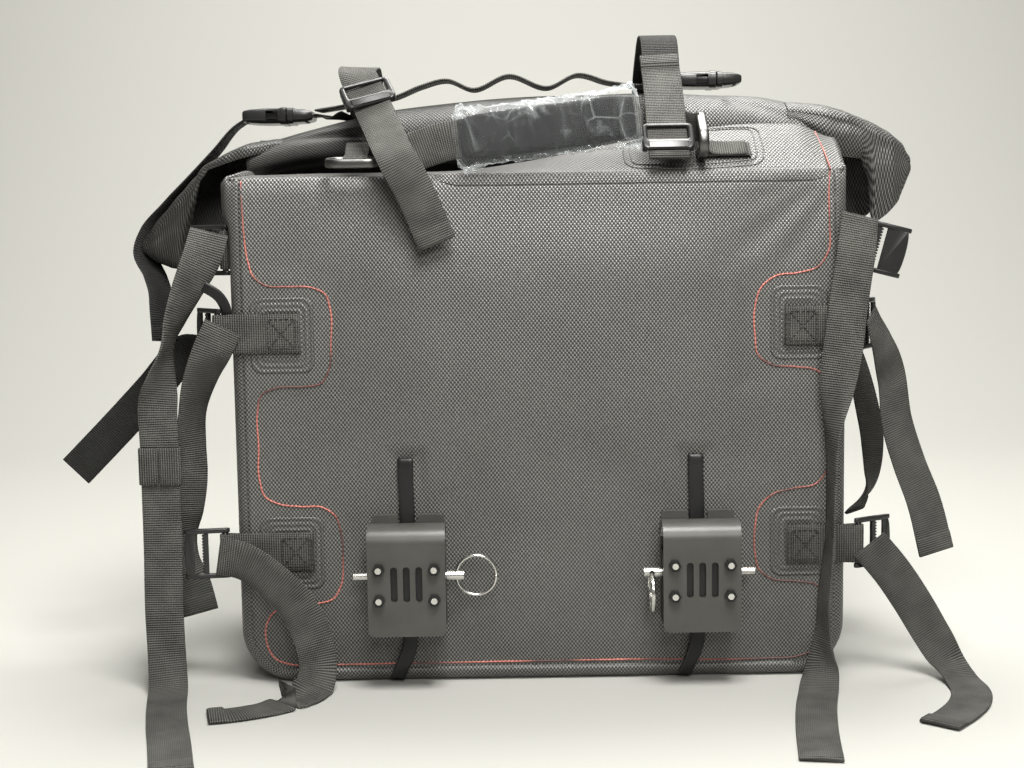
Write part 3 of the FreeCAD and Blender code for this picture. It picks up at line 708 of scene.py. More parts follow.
def shell_band():
    """Gussets and base: one band from the bike-side edge to the outer edge."""
    stations = [(-99.6, EDGE + 2.5), (-DEPTH, EDGE)]
    for k in range(1, 7):
        a = math.pi / 2 * k / 6
        stations.append((-DEPTH + EDGE * (1 - math.cos(a)), EDGE * (1 - math.sin(a))))
    stations += [(y, 0.0) for y in np.linspace(-86, 82, 40)]
    big = 14.0
    for k in range(8):
        a = math.pi / 2 * k / 7
        stations.append((DEPTH - big + big * math.sin(a), big * (1 - math.cos(a))))
    rows = []
    for y, inset in stations:
        ring = []
        for x, z in outline(inset, side_top(y, -1), side_top(y, 1)):
            # The sides sag inwards between the straps that hold them.
            hollow = 1 - smooth(abs(y), 60, 96)
            if abs(x) > 150:
                held = min(smooth(abs(z - h), 12, 40) for h in TAB_ROWS)
                amount = hollow * held * (2.6 + 1.6 * wobble(0, y, z, 55, 1.7)
                                          + 0.9 * wobble(0, y, z, 21, 5.2))
                amount += 7.0 * smooth(z, 285, 330) * (1 - smooth(abs(y + 20), 20, 75))
                x -= math.copysign(max(0.0, amount), x) * smooth(z, 30, 60)
                if x < 0:
                    x -= (7.0 * smooth(z, 296, 312) * (1 - smooth(z, 330, 338))
                          * math.exp(-((y + 84) / 8) ** 2))
            if z < 3 and abs(x) < 160:
                z += hollow * 0.6 * (1 + wobble(x, y, 0, 60, 2.2))
            yy = y
            if y < -DEPTH + EDGE + 0.1:
                lean = face_offset(x, min(z, CREASE)) if z > 8 else 0.0
                yy = y + lean * (1 - smooth(y, -DEPTH, -DEPTH + EDGE))
            ring.append((x, yy, max(z, 0.0)))
        rows.append(ring)
    rows = np.array(rows)
    v = running_length(rows[20])
    u = running_length(np.array([(0, y, i) for y, i in stations]))
    obj = grid("gusset_band", rows, v[None, :] * MM, u[:, None] * MM)
    thick(obj, FABRIC, 1.0)
    return dress(obj, "shell_fabric", "bag",
                 replaces=("gusset_left", "gusset_right", "gusset_base"))


def half_width(z, inset):
    """Half the width of the face's outline at a height."""
    w, r = HALF - inset, CORNER - inset
    if z >= CORNER:
        return w
    return w - r + math.sqrt(max(0.0, r * r - (CORNER - z) ** 2))


def panel_heights(inset, corner_count, straight):
    """Rows of a panel: close together round the lower corners, then the straight part's."""
    turn = np.linspace(0, math.pi / 2, corner_count)
    return [*(inset + (CORNER - inset) * (1 - np.cos(turn))), *straight]


def face_panel():
    inset = EDGE - 0.5
    heights = panel_heights(inset, 14, np.linspace(40, CREASE, 118))
    columns = np.linspace(-1, 1, 161)
    rows = []
    for z in heights:
        w = half_width(z, inset)
        rows.append([(w * c, -DEPTH + face_offset(w * c, z), z) for c in columns])
    rows = np.array(rows)
    obj = grid("face_panel", rows, rows[:, :, 0] * MM, rows[:, :, 2] * MM)
    thick(obj, FABRIC)
    return dress(obj, "shell_fabric", "bag", replaces=("front_panel",))


def lip_height(x):
    """Height of the free edge of the bike-side top panel."""
    rise = smooth(x, -75, 150)
    return 336.5 + 28.0 * rise - 9.0 * smooth(x, 172, 200) + 1.0 * wobble(x, 0, 0, 45, 4.4)


def top_point(x, k, proud=0.0):
    """Place on the bike-side top panel, k from 0 at the crease to 1 at the free edge."""
    start = np.array([x, -DEPTH + face_offset(x, CREASE) + 0.2, CREASE])
    end = np.array([x, -56.0 - 2.0 * smooth(x, 150, 200), lip_height(x)])
    point = start + (end - start) * k
    point[2] += 2.2 * math.sin(math.pi * k) * smooth(x, -60, 40)
    point[2] += 0.9 * wobble(x, k * 40, 0, 42, 6.6) * math.sin(math.pi * k)
    run = (end - start) / np.linalg.norm(end - start)
    return point + np.array([0, -run[2], run[1]]) * proud


def top_panel():
    columns = np.linspace(-199.5, 199.5, 150)
    rows = np.array([[top_point(x, k) for x in columns] for k in np.linspace(0, 1, 18)])
    along = running_length(rows[:, 110])
    obj = grid("top_panel", rows, rows[:, :, 0] * MM, (along[:, None] + CREASE) * MM)
    thick(obj, THIN_FABRIC)
    return dress(obj, "shell_fabric", "bag")


def crease_seam():
    """Welded overlap where the top panel leaves the face."""
    rows = []
    columns = np.linspace(-74, 197, 140)
    section = [(0.6, -7.5), (-0.5, -7.2), (-0.9, -6.0), (-1.0, -1.5), (-0.7, 0.4), (0.4, 1.4),
               (1.6, 0.5), (1.4, -6.8)]
    for x in columns:
        fade = smooth(x, -74, -50) * (1 - smooth(x, 176, 197))
        row = []
        for dy, dz in section:
            z = CREASE + dz * (0.3 + 0.7 * fade) + 0.4 * wobble(x, 0, 0, 30, 1.1)
            y = -DEPTH + face_offset(x, min(z, CREASE)) + dy * fade + 0.25
            row.append((x, y, z))
        rows.append(row)
    around = running_length(np.array([(a, b) for a, b in section + section[:1]]))
    obj = grid("crease_seam", rows, columns[:, None] * MM, around[None, :] * MM, closed=True,
               caps=True)
    return dress(obj, "shell_fabric", "bag")


def outer_panel():
    inset = 13.5
    heights = panel_heights(inset, 12, np.linspace(42, OUTER, 70))
    columns = np.linspace(-1, 1, 101)
    rows = []

    def bulge(x, z):
        held = min(smooth(abs(z - h), 12, 45) for h in TAB_ROWS)
        soft = (1 - smooth(abs(x), 80, 185)) * smooth(z, 14, 70) * (1 - smooth(z, 270, 320))
        return (held * soft * (2.2 + 0.9 * wobble(x, 0, z, 70, 9.1)) - 0.5 * (1 - held)
                - 1.2 * smooth(z, 300, 320))

    for z in heights:
        w = half_width(z, inset)
        rows.append([(w * c, DEPTH - 0.2 + bulge(w * c, z), z) for c in reversed(columns)])
    for k in np.linspace(0.08, 1, 12):
        row = []
        for c in reversed(columns):
            x = c * (HALF - inset + 11 * smooth(k, 0, 0.4))
            z = OUTER + 24 * k + 2.5 * math.sin(math.pi * k) + 0.8 * wobble(x, k * 30, 0, 40, 2)
            row.append((x, DEPTH - 1.4 + (62 - DEPTH) * k, z))
        rows.append(row)
    rows = np.array(rows)
    v = running_length(rows[:, 50])
    obj = grid("outer_panel_skin", rows, -rows[:, :, 0] * MM,
               np.repeat(v[:, None], len(columns), 1) * MM)
    thick(obj, FABRIC)
    return dress(obj, "shell_fabric", "bag", replaces=("outer_panel",))


shell_band()
face_panel()
top_panel()
board = block("face_board", (-185, -97.2, 12), (185, -94.6, 232), ease=0.6)
dress(board, "board", "bag", replaces=("bike_side_board",))
crease_seam()
outer_panel()


# ---------------------------------------------------------------- piping and strap patches
def on_face(x, z, proud):
    """Place in front of the bike-side face."""
    return (x, -DEPTH + face_offset(x, min(z, CREASE)) - proud, z)


piping_left = [(-191, 331), (-190, 312), (-189, 294), (-187, 279), (-184, 270), (-176, 264),
               (-162, 263), (-146, 262), (-138, 258), (-135, 249), (-135, 226), (-137, 208),
               (-142, 200), (-152, 198), (-172, 197), (-181, 193), (-184, 182), (-184, 160),
               (-184, 136), (-181, 126), (-172, 121), (-158, 119), (-143, 118), (-135, 112),
               (-132, 102), (-131, 82), (-133, 65), (-138, 57), (-148, 54), (-168, 52), (-178, 48),
               (-183, 39), (-183, 28), (-178, 17), (-167, 12.5), (-150, 12)]
piping_bottom = [(-150, 12), (-92, 12.5), (-20, 12.5), (67, 12.5), (150, 12)]
piping_right = [(150, 12), (168, 13), (180, 18), (187, 29), (188, 42), (187, 54), (181, 61),
                (167, 64), (151, 66), (143, 72), (140, 84), (140, 100), (143, 114), (151, 122),
                (165, 126), (180, 129), (186, 136), (188, 150), (188, 180), (187, 196), (181, 203),
                (166, 206), (150, 208), (142, 214), (140, 226), (140, 246), (144, 258), (153, 265),
                (168, 267), (181, 271), (187, 280), (188, 300), (188, 318), (189, 332)]
piping_path = piping_left + piping_bottom[1:] + piping_right[1:]
cord_tube("face_piping", "bag", [on_face(x, z, 0.2) for x, z in piping_path], 0.55, "piping",
          twist=0.07, replaces=("front_piping",))
cord_tube("top_piping_right", "bag",
          [(189, -95.8, 333), (188.5, -88, 339.5), (188, -78, 346.5), (187, -66, 354),
           (186.5, -58.5, 359)], 0.55, "piping", twist=0.07)


def embossed(name, x0, x1, z0, z1):
    """Welded patch: a thin raised plate with ridges one inside the other, its foot in the face."""
    rings = []
    levels = [(0.0, -0.3), (0.0, 0.35), (0.7, 0.62), (1.6, 0.62), (2.2, 0.25), (3.6, 0.22),
              (4.2, 0.62), (5.2, 0.62), (5.8, 0.3), (7.4, 0.3), (8.0, 0.66), (8.8, 0.66),
              (9.4, 0.42), (14.0, 0.42)]
    for inset, proud in levels:
        shape = rounded_rectangle(x0 + inset, x1 - inset, z0 + inset, z1 - inset,
                                  max(1.5, 7 - inset * 0.5))
        rings.append([on_face(x, z, proud) for x, z in shape])
    rings = np.array(rings)
    u = np.concatenate([rings[:, :, 0], rings[:, :1, 0]], 1) * MM
    v = np.concatenate([rings[:, :, 2], rings[:, :1, 2]], 1) * MM
    obj = grid(name, rings, u, v, closed=True, caps=True)
    return dress(obj, "patch_fabric", "bag")


patches = [embossed("patch_upper_left", -187, -146, 207, 256),
           embossed("patch_lower_left", -185, -143, 64, 112),
           embossed("patch_upper_right", 150, 187, 211, 259),
           embossed("patch_lower_right", 150, 187, 68, 114)]
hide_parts("strap_patches")
for name, inset in (("outer", 0), ("inner", 4.5)):
    shape = rounded_rectangle(58 + inset, 148 - inset, 5 + inset, 49 - inset * 0.5, 9 - inset)
    ridge = [top_point(x, along / 54, 0.1) for x, along in shape + shape[:1]]
    cord_tube("top_ridge_" + name, "bag", ridge, 0.55, "patch_fabric", step=2.0)


# ---------------------------------------------------------------- sewn tabs on the face
def level(path, height, side=1):
    """Stations of an upright strap along plan points. side is -1 for the mirrored path."""
    return [(side * x, y, height, UP) for x, y in path]


def sewn_tab(place, side, inner, height):
    """Webbing folded round the lock's bar and sewn down with a crossed box."""
    path = [(inner, -101.55), (178, -101.5), (196, -101.0), (203, -99.6), (207.5, -99.1),
            (210.3, -101.0), (210.0, -103.6), (207.0, -105.0), (200, -104.0), (190, -103.2),
            (inner + 1, -103.1)]
    webbing("tab_" + place + "_webbing", "bag", level(path, height, side), thickness=1.25,
            replaces=("tab_" + place,), step=0.8)
    y = -103.95
    a, b = side * (inner + 3.5), side * (inner + 21)
    edge = a - side * 1.8
    low, high = height - 9.5, height + 9.5
    lines = [[(a, y, low), (a, y, high)], [(b, y, low), (b, y, high)], [(a, y, low), (b, y, low)],
             [(a, y, high), (b, y, high)], [(a, y, low), (b, y, high)], [(a, y, high), (b, y, low)],
             [(edge, y, low), (edge, y, high)]]
    stitches("tab_" + place + "_stitches", "bag", lines)


sewn_tab("upper_left", -1, 154, UPPER)
sewn_tab("lower_left", -1, 149, LOWER)
sewn_tab("upper_right", 1, 158, UPPER)
sewn_tab("lower_right", 1, 160, LOWER)

# ---------------------------------------------------------------- straps
webbing("tail_upper_left_strap", "upper_left_lock",
        [(-203, -108.5, 238, 0), (-211, -107.5, 222, 12), (-221, -100, 202, 38),
         (-228, -93, 180, 56), (-231.5, -89, 158, 42), (-233.5, -86, 136, 22),
         (-236.5, -84, 114, 35), (-239.5, -82, 96, 55), (-239.5, -81, 80, 50),
         (-234.5, -81, 62, 25), (-230.5, -81, 44, 12)],
        hem_end=11, replaces=("tail_upper_left",))
webbing("tail_lower_left_strap", "lower_left_lock",
        [(-211, -109, 89, UP), (-195, -112, 86, UP), (-176, -116, 74, (0.25, 0, 1)),
         (-159, -118, 56, (0.8, 0, 0.6)), (-149, -119, 33, 15), (-147, -120, 14, 20),
         (-150, -129, 3.5, 25), (-160, -145, 1.4, 40), (-176, -158, 1.4, 60), (-194, -167, 1.4, 75),
         (-209, -171, 1.4, 80)],
        hem_end=11, hem_side=-1, replaces=("tail_lower_left",))
webbing("tail_upper_right_strap", "upper_right_lock",
        [(214, -105, 240, 60), (217, -103, 232, 56), (224, -96, 217, 46), (232, -86, 198, 34),
         (238, -80, 165, 25), (247, -77, 138, 20), (257, -77, 112, 15), (266, -77, 77, 10)],
        hem_end=12, replaces=("tail_upper_right",))
webbing("tail_lower_right_strap", "lower_right_lock",
        [(213, -109, 90, 0), (228, -107, 72, 0), (243, -104, 50, 0), (256, -104, 28, 5),
         (266, -108, 11, 15), (271, -121, 3, 25), (271, -140, 1.4, 10), (264, -163, 1.4, -15),
         (249, -187, 1.4, -30), (232, -207, 1.4, -35)],
        hem_end=12, replaces=("tail_lower_right",))
webbing("long_strap_left_webbing", "bag",
        [(-211, -101, 299, 5), (-215, -105, 284, 22), (-225, -109, 262, 48),
         (-233, -111.5, 243, 68), (-238.5, -112, 226, 84), (-243, -112, 206, 55),
         (-246, -112, 188, 14), (-246, -112, 165, 0), (-246, -112, 130, 0), (-246, -112, 100, 3),
         (-247, -112, 50, 0), (-246, -114, 22, 0), (-244, -122, 6, 5), (-241, -140, 1.4, 10),
         (-232, -180, 1.4, 12), (-221, -222, 1.4, 14), (-211, -262, 1.4, 14)],
        hem_end=12, replaces=("long_strap_left",))
webbing("long_strap_right_webbing", "bag",
        [(207, -103, 303, 15), (203, -110, 280, 5), (198, -113, 250, 0), (194, -115, 220, -10),
         (190, -117, 195, -40), (187, -119, 170, -75), (186, -120, 130, -88), (185, -120, 90, -88),
         (182, -120, 60, -84), (181, -120, 30, -76), (179, -124, 12, -50), (175, -137, 2.5, -25),
         (168, -165, 1.4, -18), (160, -205, 1.4, -16), (151, -262, 1.4, -14)],
        hem_end=12, replaces=("long_strap_right",))
webbing("side_loop_left", "bag",
        [(-221, -101, 266, (0.5, 0, 0.87)), (-214, -102, 263, (0.4, 0, 0.9)),
         (-206, -101, 257, (0.7, 0, 0.7)), (-202.5, -100, 250, (1, 0, 0.1)),
         (-202, -99, 243, (1, 0, 0))], width=7, thickness=1.4, slot="rubber")
webbing("keeper_band", "keeper",
        level([(-246, -114), (-238, -114.1), (-233.4, -113.4), (-232.6, -112), (-233.4, -110.6),
               (-246, -109.9), (-258.6, -110.6), (-259.4, -112), (-258.6, -113.4), (-254, -114.1),
               (-247, -114.1)], KEEPER_Z),
        width=24, thickness=1.0, replaces=("strap_keeper",), step=0.7)

webbing("rear_tail_left", "bag",
        [(-205, -24, 233, UP), (-212, -22, 233, (0, 0.3, 1)), (-222, -18, 231, (0.3, 0.8, 0.6)),
         (-244, -15, 219, 20), (-272, -15, 189, 0), (-300, -15, 160, 0), (-329, -15, 131, 0)],
        hem_end=12, hem_side=-1, replaces=("rear_tails",), look="black_webbing_painted_shade")
webbing("rear_tail_right", "bag",
        [(205, -20, 233, UP), (212, -22, 231, (0, 0.4, 1)), (220, -24, 216, 60),
         (228, -28, 180, 40), (233, -32, 148, 40), (229, -40, 118, 60), (216, -50, 101, 90)],
        hem_end=10, look="painted_shade_webbing")


def outer_strap(name, height, replaces):
    """Strap sewn round the outer face, from one side to the other."""
    reach, back, r = 201.0, 101.2, 14.0
    path = [(-reach, -70)] + [(-reach, y) for y in (-40, 0, 40, 70)]
    path += [(-reach + r - r * math.cos(a), back - r + r * math.sin(a))
             for a in np.linspace(0.1, 1.45, 6)]
    path += [(x, back + 0.2) for x in (-150, -80, 0, 80, 150)]
    path += [(reach - r + r * math.cos(a), back - r + r * math.sin(a))
             for a in np.linspace(1.45, 0.1, 6)]
    path += [(reach, y) for y in (70, 40, 0, -40, -70)]
    webbing(name, "bag", level(path, height), thickness=1.4, replaces=replaces, step=2.5)
    lines = []
    y, low, high = back + 1.05, height - 9, height + 9
    for x in (-150, 0, 150):
        for start, end in ((-8, -8), (8, 8), (-8, 8), (8, -8)):
            lines.append([(x + start, y, low), (x + end, y, high)])
    stitches(name + "_stitches", "bag", lines)


outer_strap("outer_strap_upper", UPPER, ("outer_straps",))
outer_strap("outer_strap_lower", LOWER, ())

cinch_path = [(201.0, -46), (201.2, -70), (201.4, -80), (201.6, -86), (204.2, -88), (207.0, -86),
              (206.6, -82), (203.6, -76), (202.6, -70), (202.5, -48)]
for side, place, replaced in ((-1, "left", ("cinch_anchors",)), (1, "right", ())):
    webbing("cinch_tab_" + place, "bag", level(cinch_path, CINCH_Z, side), thickness=1.2,
            replaces=replaced, step=0.8)


# ---------------------------------------------------------------- waterproof liner
def liner_sack():
    """Open sack of soft film hung inside the boards; its wrinkles only go inwards."""
    low, high = (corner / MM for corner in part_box("liner"))
    corners = rounded_rectangle(low.x + 1.0, high.x - 1.0, low.y + 1.0, high.y - 1.0, 12)
    edge = np.array(corners + corners[:1])
    length = running_length(edge)
    around = np.linspace(0, length[-1], 241)
    ring_x = np.interp(around[:-1], length, edge[:, 0])
    ring_y = np.interp(around[:-1], length, edge[:, 1])
    middle_y = (low.y + high.y) / 2
    floor, top = low.z + 1.0, high.z - 1.0
    sections = [(0.05, floor), (0.35, floor), (0.65, floor), (0.90, floor), (0.97, floor + 1.5),
                (1.0, floor + 7)]
    sections += [(1.0, z) for z in np.linspace(floor + 14, top, 48)]
    rows = []
    for scale, z in sections:
        row = []
        for x, y in zip(ring_x, ring_y):
            ripple = (1.5 * wobble(x, y, z, 46, 4.4)
                      + 0.9 * wobble(x * 1.6, y * 1.6, z * 0.5, 22, 8.2))
            inwards = (2.2 + max(-2.0, ripple)) * smooth(z, floor + 2, floor + 20)
            row.append((x * scale * (1 - inwards / high.x), middle_y + (y - middle_y) * scale
                        * (1 - inwards / (high.y - middle_y)), z))
        rows.append(row)
    rows = np.array(rows)
    obj = grid("liner_sack", rows, around[None, :] * MM, running_length(rows[:, 0])[:, None] * MM,
               closed=True)
    thick(obj, 0.7)
    return dress(obj, "liner_film", "bag", replaces=("liner",))


liner_sack()

# ---------------------------------------------------------------- roll closure
# x, lowest and highest z, y of the bike side and of the outer side
roll_stations = [(-196, 330, 358, -43, 34), (-160, 337, 368, -44, 35), (-110, 336.5, 380, -44, 36),
                 (-50, 336, 388, -44, 36), (30, 336, 391, -44, 36), (110, 336, 390, -44, 36),
                 (160, 336.5, 387, -44, 36), (196, 334, 377, -44, 36)]


def crease(x, angle, at_x, at_angle, lean, width, reach):
    """Depth of a pinched fold that leaves (at_x, at_angle) along a leaning line on the roll."""
    along = x - at_x
    beside = angle - at_angle - lean * along
    return (math.exp(-(beside / width) ** 2) * smooth(along, 0, 6)
            * (1 - smooth(along, reach * 0.5, reach)))


def sleeve(name, rows, middle):
    """Closed rings along x, with the texture measured round the ring of index middle."""
    rows = np.array(rows)
    around = running_length(np.concatenate([rows[middle], rows[middle][:1]]))
    return grid(name, rows, rows[:, :1, 0] * MM, around[None, :] * MM, closed=True, caps=True)


def roll_top():
    line = curve_through([(x, 0, 0, lo, hi, f, b) for x, lo, hi, f, b in roll_stations], 3.0)
    sides, power = 84, 0.86
    rows = []
    for x, _, _, low, high, front, back in line:
        ring = []
        middle_y, middle_z = (front + back) / 2, (low + high) / 2
        for k in range(sides):
            a = 2 * math.pi * k / sides
            c, s = math.cos(a), math.sin(a)
            y = middle_y + (back - front) / 2 * boxy(c, power)
            z = middle_z + (high - low) / 2 * boxy(s, power)
            dent = 1.5 * wobble(x, y, z, 62, 2.5) + 0.7 * wobble(x, y * 2, z * 2, 34, 7.7)
            # Long soft fold where the last turn of the roll ends, low on the bike side.
            fold = math.exp(-((a - 3.75 - 0.12 * wobble(x, 0, 0, 70, 1)) / 0.16) ** 2)
            dent += 2.4 * fold
            dent += (4.0 * crease(-x, a, 96, 3.0, -0.006, 0.15, 90)
                     + 3.0 * crease(x, a, 128, 2.2, 0.012, 0.22, 70))
            scale = 1 - (1.8 + dent) / 38.0
            ring.append((x, middle_y + (y - middle_y) * scale, middle_z + (z - middle_z) * scale))
        rows.append(ring)
    obj = sleeve("roll_skin", rows, 60)
    return dress(obj, "shell_fabric", "roll", look="roll_fabric_painted_shade", replaces=("roll_top",))


def table_at(x, table):
    """Value of a table of (x, value) pairs, joined by straight lines."""
    xs = [row[0] for row in table]
    return float(np.interp(x, xs, [row[1] for row in table]))


def roll_wing(name, side, top, front_low, back_low, front_y, back_y, far):
    """Folded end of the roll: a sheet bent over a ridge, with a short bike-side leg and an open
    pocket below it."""
    rows = []
    legs, over = 26, 13
    for d in np.linspace(172, far, 78):
        high, fl, bl = table_at(d, top), table_at(d, front_low), table_at(d, back_low)
        fy, by = table_at(d, front_y), table_at(d, back_y)
        r = min(9.0, (by - fy) * 0.28, max(1.5, (high - max(fl, bl)) * 0.55))
        x = side * d
        row = []
        for k in range(legs):
            t = k / legs
            z = fl + (high - r - fl) * t
            belly = 3.5 * math.sin(math.pi * min(1, t * 1.1)) * smooth(high - fl, 6, 30)
            row.append((x, fy + 6.0 * (1 - t) * smooth(high - fl, 10, 40) - belly, z))
        for k in range(over):
            a = math.pi * k / (over - 1)
            middle = (fy + by) / 2
            row.append((x, middle - (by - fy) / 2 * boxy(math.cos(a), 0.75),
                        high - r + r * math.sin(a)))
        for k in range(1, legs + 1):
            t = k / legs
            z = high - r + (bl - high + r) * t
            row.append((x, by - 8.0 * t * smooth(high - bl, 10, 40), z))
        for k, (px, py, pz) in enumerate(row):
            ripple = (1.2 * wobble(px, py, pz, 30, 3.3)
                      + 0.8 * wobble(px * 0.5, py * 0.5, pz * 2.2, 16, 6.1))
            fade = smooth(d, 184, 205)
            tuck = 0.80 + 0.20 * smooth(d, 174, 200)
            centre_y, centre_z = (fy + by) / 2, high - 12
            py, pz = centre_y + (py - centre_y) * tuck, centre_z + (pz - centre_z) * tuck
            row[k] = (px + 0.8 * ripple * fade * side, py + ripple * fade, pz + 0.4 * ripple * fade)
        rows.append(row)
    rows = np.array(rows)
    along = running_length(rows[20])
    outwards = running_length(rows[:, 24])
    obj = grid(name, rows, np.repeat(outwards[:, None], rows.shape[1], 1) * MM,
               np.broadcast_to(along * MM, rows.shape[:2]))
    outward(obj)
    thick(obj, 1.5, 0.0)
    return dress(obj, "shell_fabric", "roll", look="roll_fabric_painted_shade")


roll_top()
roll_wing("roll_wing_left", -1,
          [(178, 364), (196, 359), (210, 353), (226, 345), (246, 325), (262, 307), (273, 293)],
          [(178, 354), (205, 346), (222, 341), (229, 333), (238, 300), (245, 274), (252, 275),
           (262, 279), (273, 287)],
          [(178, 345), (196, 338), (206, 310), (226, 290), (246, 276), (262, 279), (273, 286)],
          [(178, -44.5), (210, -44), (246, -37), (262, -31), (273, -24)],
          [(178, 35.5), (210, 34), (246, 22), (262, 14), (273, 6)], 273)
roll_wing("roll_wing_right", 1,
          [(178, 384), (196, 380), (212, 376), (228, 369), (244, 361), (253, 354), (258, 346)],
          [(178, 365), (196, 350), (206, 344), (222, 342), (227, 330), (231, 297), (241, 304),
           (250, 313), (258, 334)],
          [(178, 350), (196, 336), (206, 326), (214, 314), (226, 298), (240, 303), (250, 312),
           (258, 334)],
          [(178, -44.5), (212, -44), (244, -38), (258, -28)],
          [(178, 36.5), (212, 36), (244, 30), (258, 18)], 258)

# Fabric hinge between the outer panel and the roll.
hinge_rows = []
for k in np.linspace(0, 1, 14):
    sag = math.sin(math.pi * k)
    hinge_rows.append([(x, 62.5 - 30 * k - 6 * sag,
                        343.5 + 12 * k - 5 * sag + 0.8 * wobble(x, k * 30, 0, 40, 3))
                       for x in np.linspace(186, -186, 90)])
hinge_rows = np.array(hinge_rows)
hinge = grid("roll_hinge_fabric", hinge_rows, -hinge_rows[:, :, 0] * MM,
             np.linspace(0, 34, 14)[:, None] * MM)
thick(hinge, THIN_FABRIC, 0.0)
dress(hinge, "shell_fabric")
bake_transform(hinge)

webbing("roll_daisy_chain", "roll",
        [(-151, -1, 382, 90), (-122, -4, 386, 90), (-96, -5, 390, 90), (-78, -5, 397, 90),
         (-60, -5, 401, 90), (-42, -5, 394.5, 90), (-17, -5, 403.5, 90), (10, -5, 395, 90),
         (31, -5, 403.5, 90), (52, -5, 398, 90), (72, -4, 395.5, 90), (94, 4, 397.5, 90)],
        thickness=1.6, replaces=("daisy_chain",))
webbing("roll_strap_left", "roll",
        [(-196, 0, 379, 90), (-208, -1, 372, 90), (-222, -3, 356, 85), (-238, -6, 338, 80),
         (-254, -10, 319, 70), (-268, -16, 299, 60), (-271, -22, 284, 55), (-263, -30, 268, 60),
         (-259, -36, 258, 60), (-257, -42, 244, 58), (-255, -46, 225, 55)],
        width=22, hem_end=9, replaces=("roll_tail_left",), look="black_webbing_painted_shade")

webbing("over_strap_left_webbing", "roll",
        [(-121, 45, 366, 0), (-120, 34, 388, 0), (-118, 4, 402, 0), (-117, -28, 408, 0),
         (-117, -58, 401, 0), (-113, -66, 392.5, (0.87, 0.25, 0.42)),
         (-100, -91, 366, (0.87, 0.25, 0.42)), (-88, -114, 342, (0.87, 0.2, 0.42)),
         (-80, -114, 327, (0.9, 0, 0.42)), (-64, -110, 289, (0.91, 0, 0.42))],
        hem_end=11, hem_side=1, replaces=("over_strap_left",))
webbing("over_strap_right_webbing", "roll",
        [(85, 45, 372, 0), (85, 36, 398, 0), (85, 10, 418, 0), (85, -14, 428, 0), (85, -34, 423, 0),
         (85, -46, 408, 0)], look="black_webbing_painted_shade", replaces=("over_strap_right",))
webbing("over_strap_right_front", "roll",
        [(84, -43, 411.5, 0), (84.5, -49.5, 403, 0), (85, -60, 390.4, 0), (85, -70, 378.3, 0),
         (85, -81, 365.1, 0), (85, -90, 354.2, 0), (85, -96, 347, 0), (85, -101, 341, 0)],
        width=26, thickness=1.8, hem_start=9, hem_end=6)

# ---------------------------------------------------------------- carry handle
TILT = math.atan(0.115)     # lean of the grip, higher on the right
grip_turn = Matrix.Rotation(-TILT, 3, "Y").to_4x4()
GRIP_PLACE = Matrix.Translation(Vector((7, -97, 362)) * MM) @ grip_turn


def grip_shape():
    long, deep, tall, puff, seed = 112, 15.5, 29, 0.5, 1.0
    rows, count = [], 40
    for t in np.linspace(-1, 1, 60):
        ring = []
        ends = 1 - 0.16 * abs(t) ** 6
        for k in range(count):
            a = 2 * math.pi * k / count
            c, s = math.cos(a), math.sin(a)
            y = deep / 2 * boxy(c, 0.55) * ends
            z = tall / 2 * boxy(s, 0.45) * ends
            x = t * long / 2
            dent = puff * wobble(x, y, z, 14, seed) + puff * 0.5 * wobble(x, y, z, 6, seed + 3)
            ring.append((x, y * (1 + dent / deep), z * (1 + dent / tall)))
        rows.append(ring)
    return moved(sleeve("grip_sleeve", rows, 30), GRIP_PLACE)


grip = grip_shape()
dress(grip, "grip_foam", "handle", replaces=("handle_grip", "handle_webbing"))


def film_sleeve():
    """Crinkled clear film wrapped round the grip, gathered at both ends."""
    rows, count = [], 72
    for t in np.linspace(-1, 1, 110):
        ring = []
        x = t * 60.0
        gather = 1 - 0.30 * smooth(abs(t), 0.93, 1.0)
        for k in range(count):
            a = 2 * math.pi * k / count
            c, s = math.cos(a), math.sin(a)
            y = 9.6 * boxy(c, 0.6)
            z = 17.2 * boxy(s, 0.5)
            crumple = 2.2 * (1 - 2 * abs(wobble(x, y * 2, z * 0.6, 13, 4.0))) ** 3
            crumple += 1.0 * (1 - 2 * abs(wobble(x * 1.5, y, z * 0.5, 7, 9.0))) ** 2
            crumple *= 0.6 + 1.0 * smooth(abs(t), 0.55, 1.0)
            length = math.hypot(y, z)
            grow = (length * gather + crumple * 1.4) / length
            ring.append((x + 1.5 * wobble(x, y, z, 9, 7.0), y * grow, z * grow))
        rows.append(ring)
    rows = np.array(rows)
    obj = grid("grip_film", rows, rows[:, :1, 0] * MM, np.linspace(0, 90, count + 1)[None, :] * MM,
               closed=True)
    moved(obj, GRIP_PLACE)
    return dress(obj, "liner_film", "handle", look="film")


film_sleeve()
webbing("handle_webbing_left", "handle",
        [(-97, -103.5, 341, (0.1, 0, 1)), (-88, -102, 344, (0, 0, 1)),
         (-72, -99, 350, (-0.1, 0, 1)), (-56, -97, 354.7, (-0.115, 0, 1)),
         (-44, -97, 356, (-0.115, 0, 1))], width=25, thickness=2.2)
webbing("handle_webbing_right", "handle",
        [(58, -97, 368, (-0.115, 0, 1)), (63, -96.5, 368.6, (-0.115, 0, 1)),
         (68, -94, 369, (-0.115, 0, 1))], width=25, thickness=2.2)
webbing("handle_webbing_anchor", "bag",
        [(80, -69, 366, (0, 0.3, 1)), (88, -68, 365, (0, 0.3, 1)), (97, -73, 362, (0, 0, 1)),
         (103, -80, 360, (0.1, -0.3, 1)), (106.5, -87, 360, (0.1, -0.5, 1))],
        width=22, thickness=2.0, look="painted_shade_webbing")


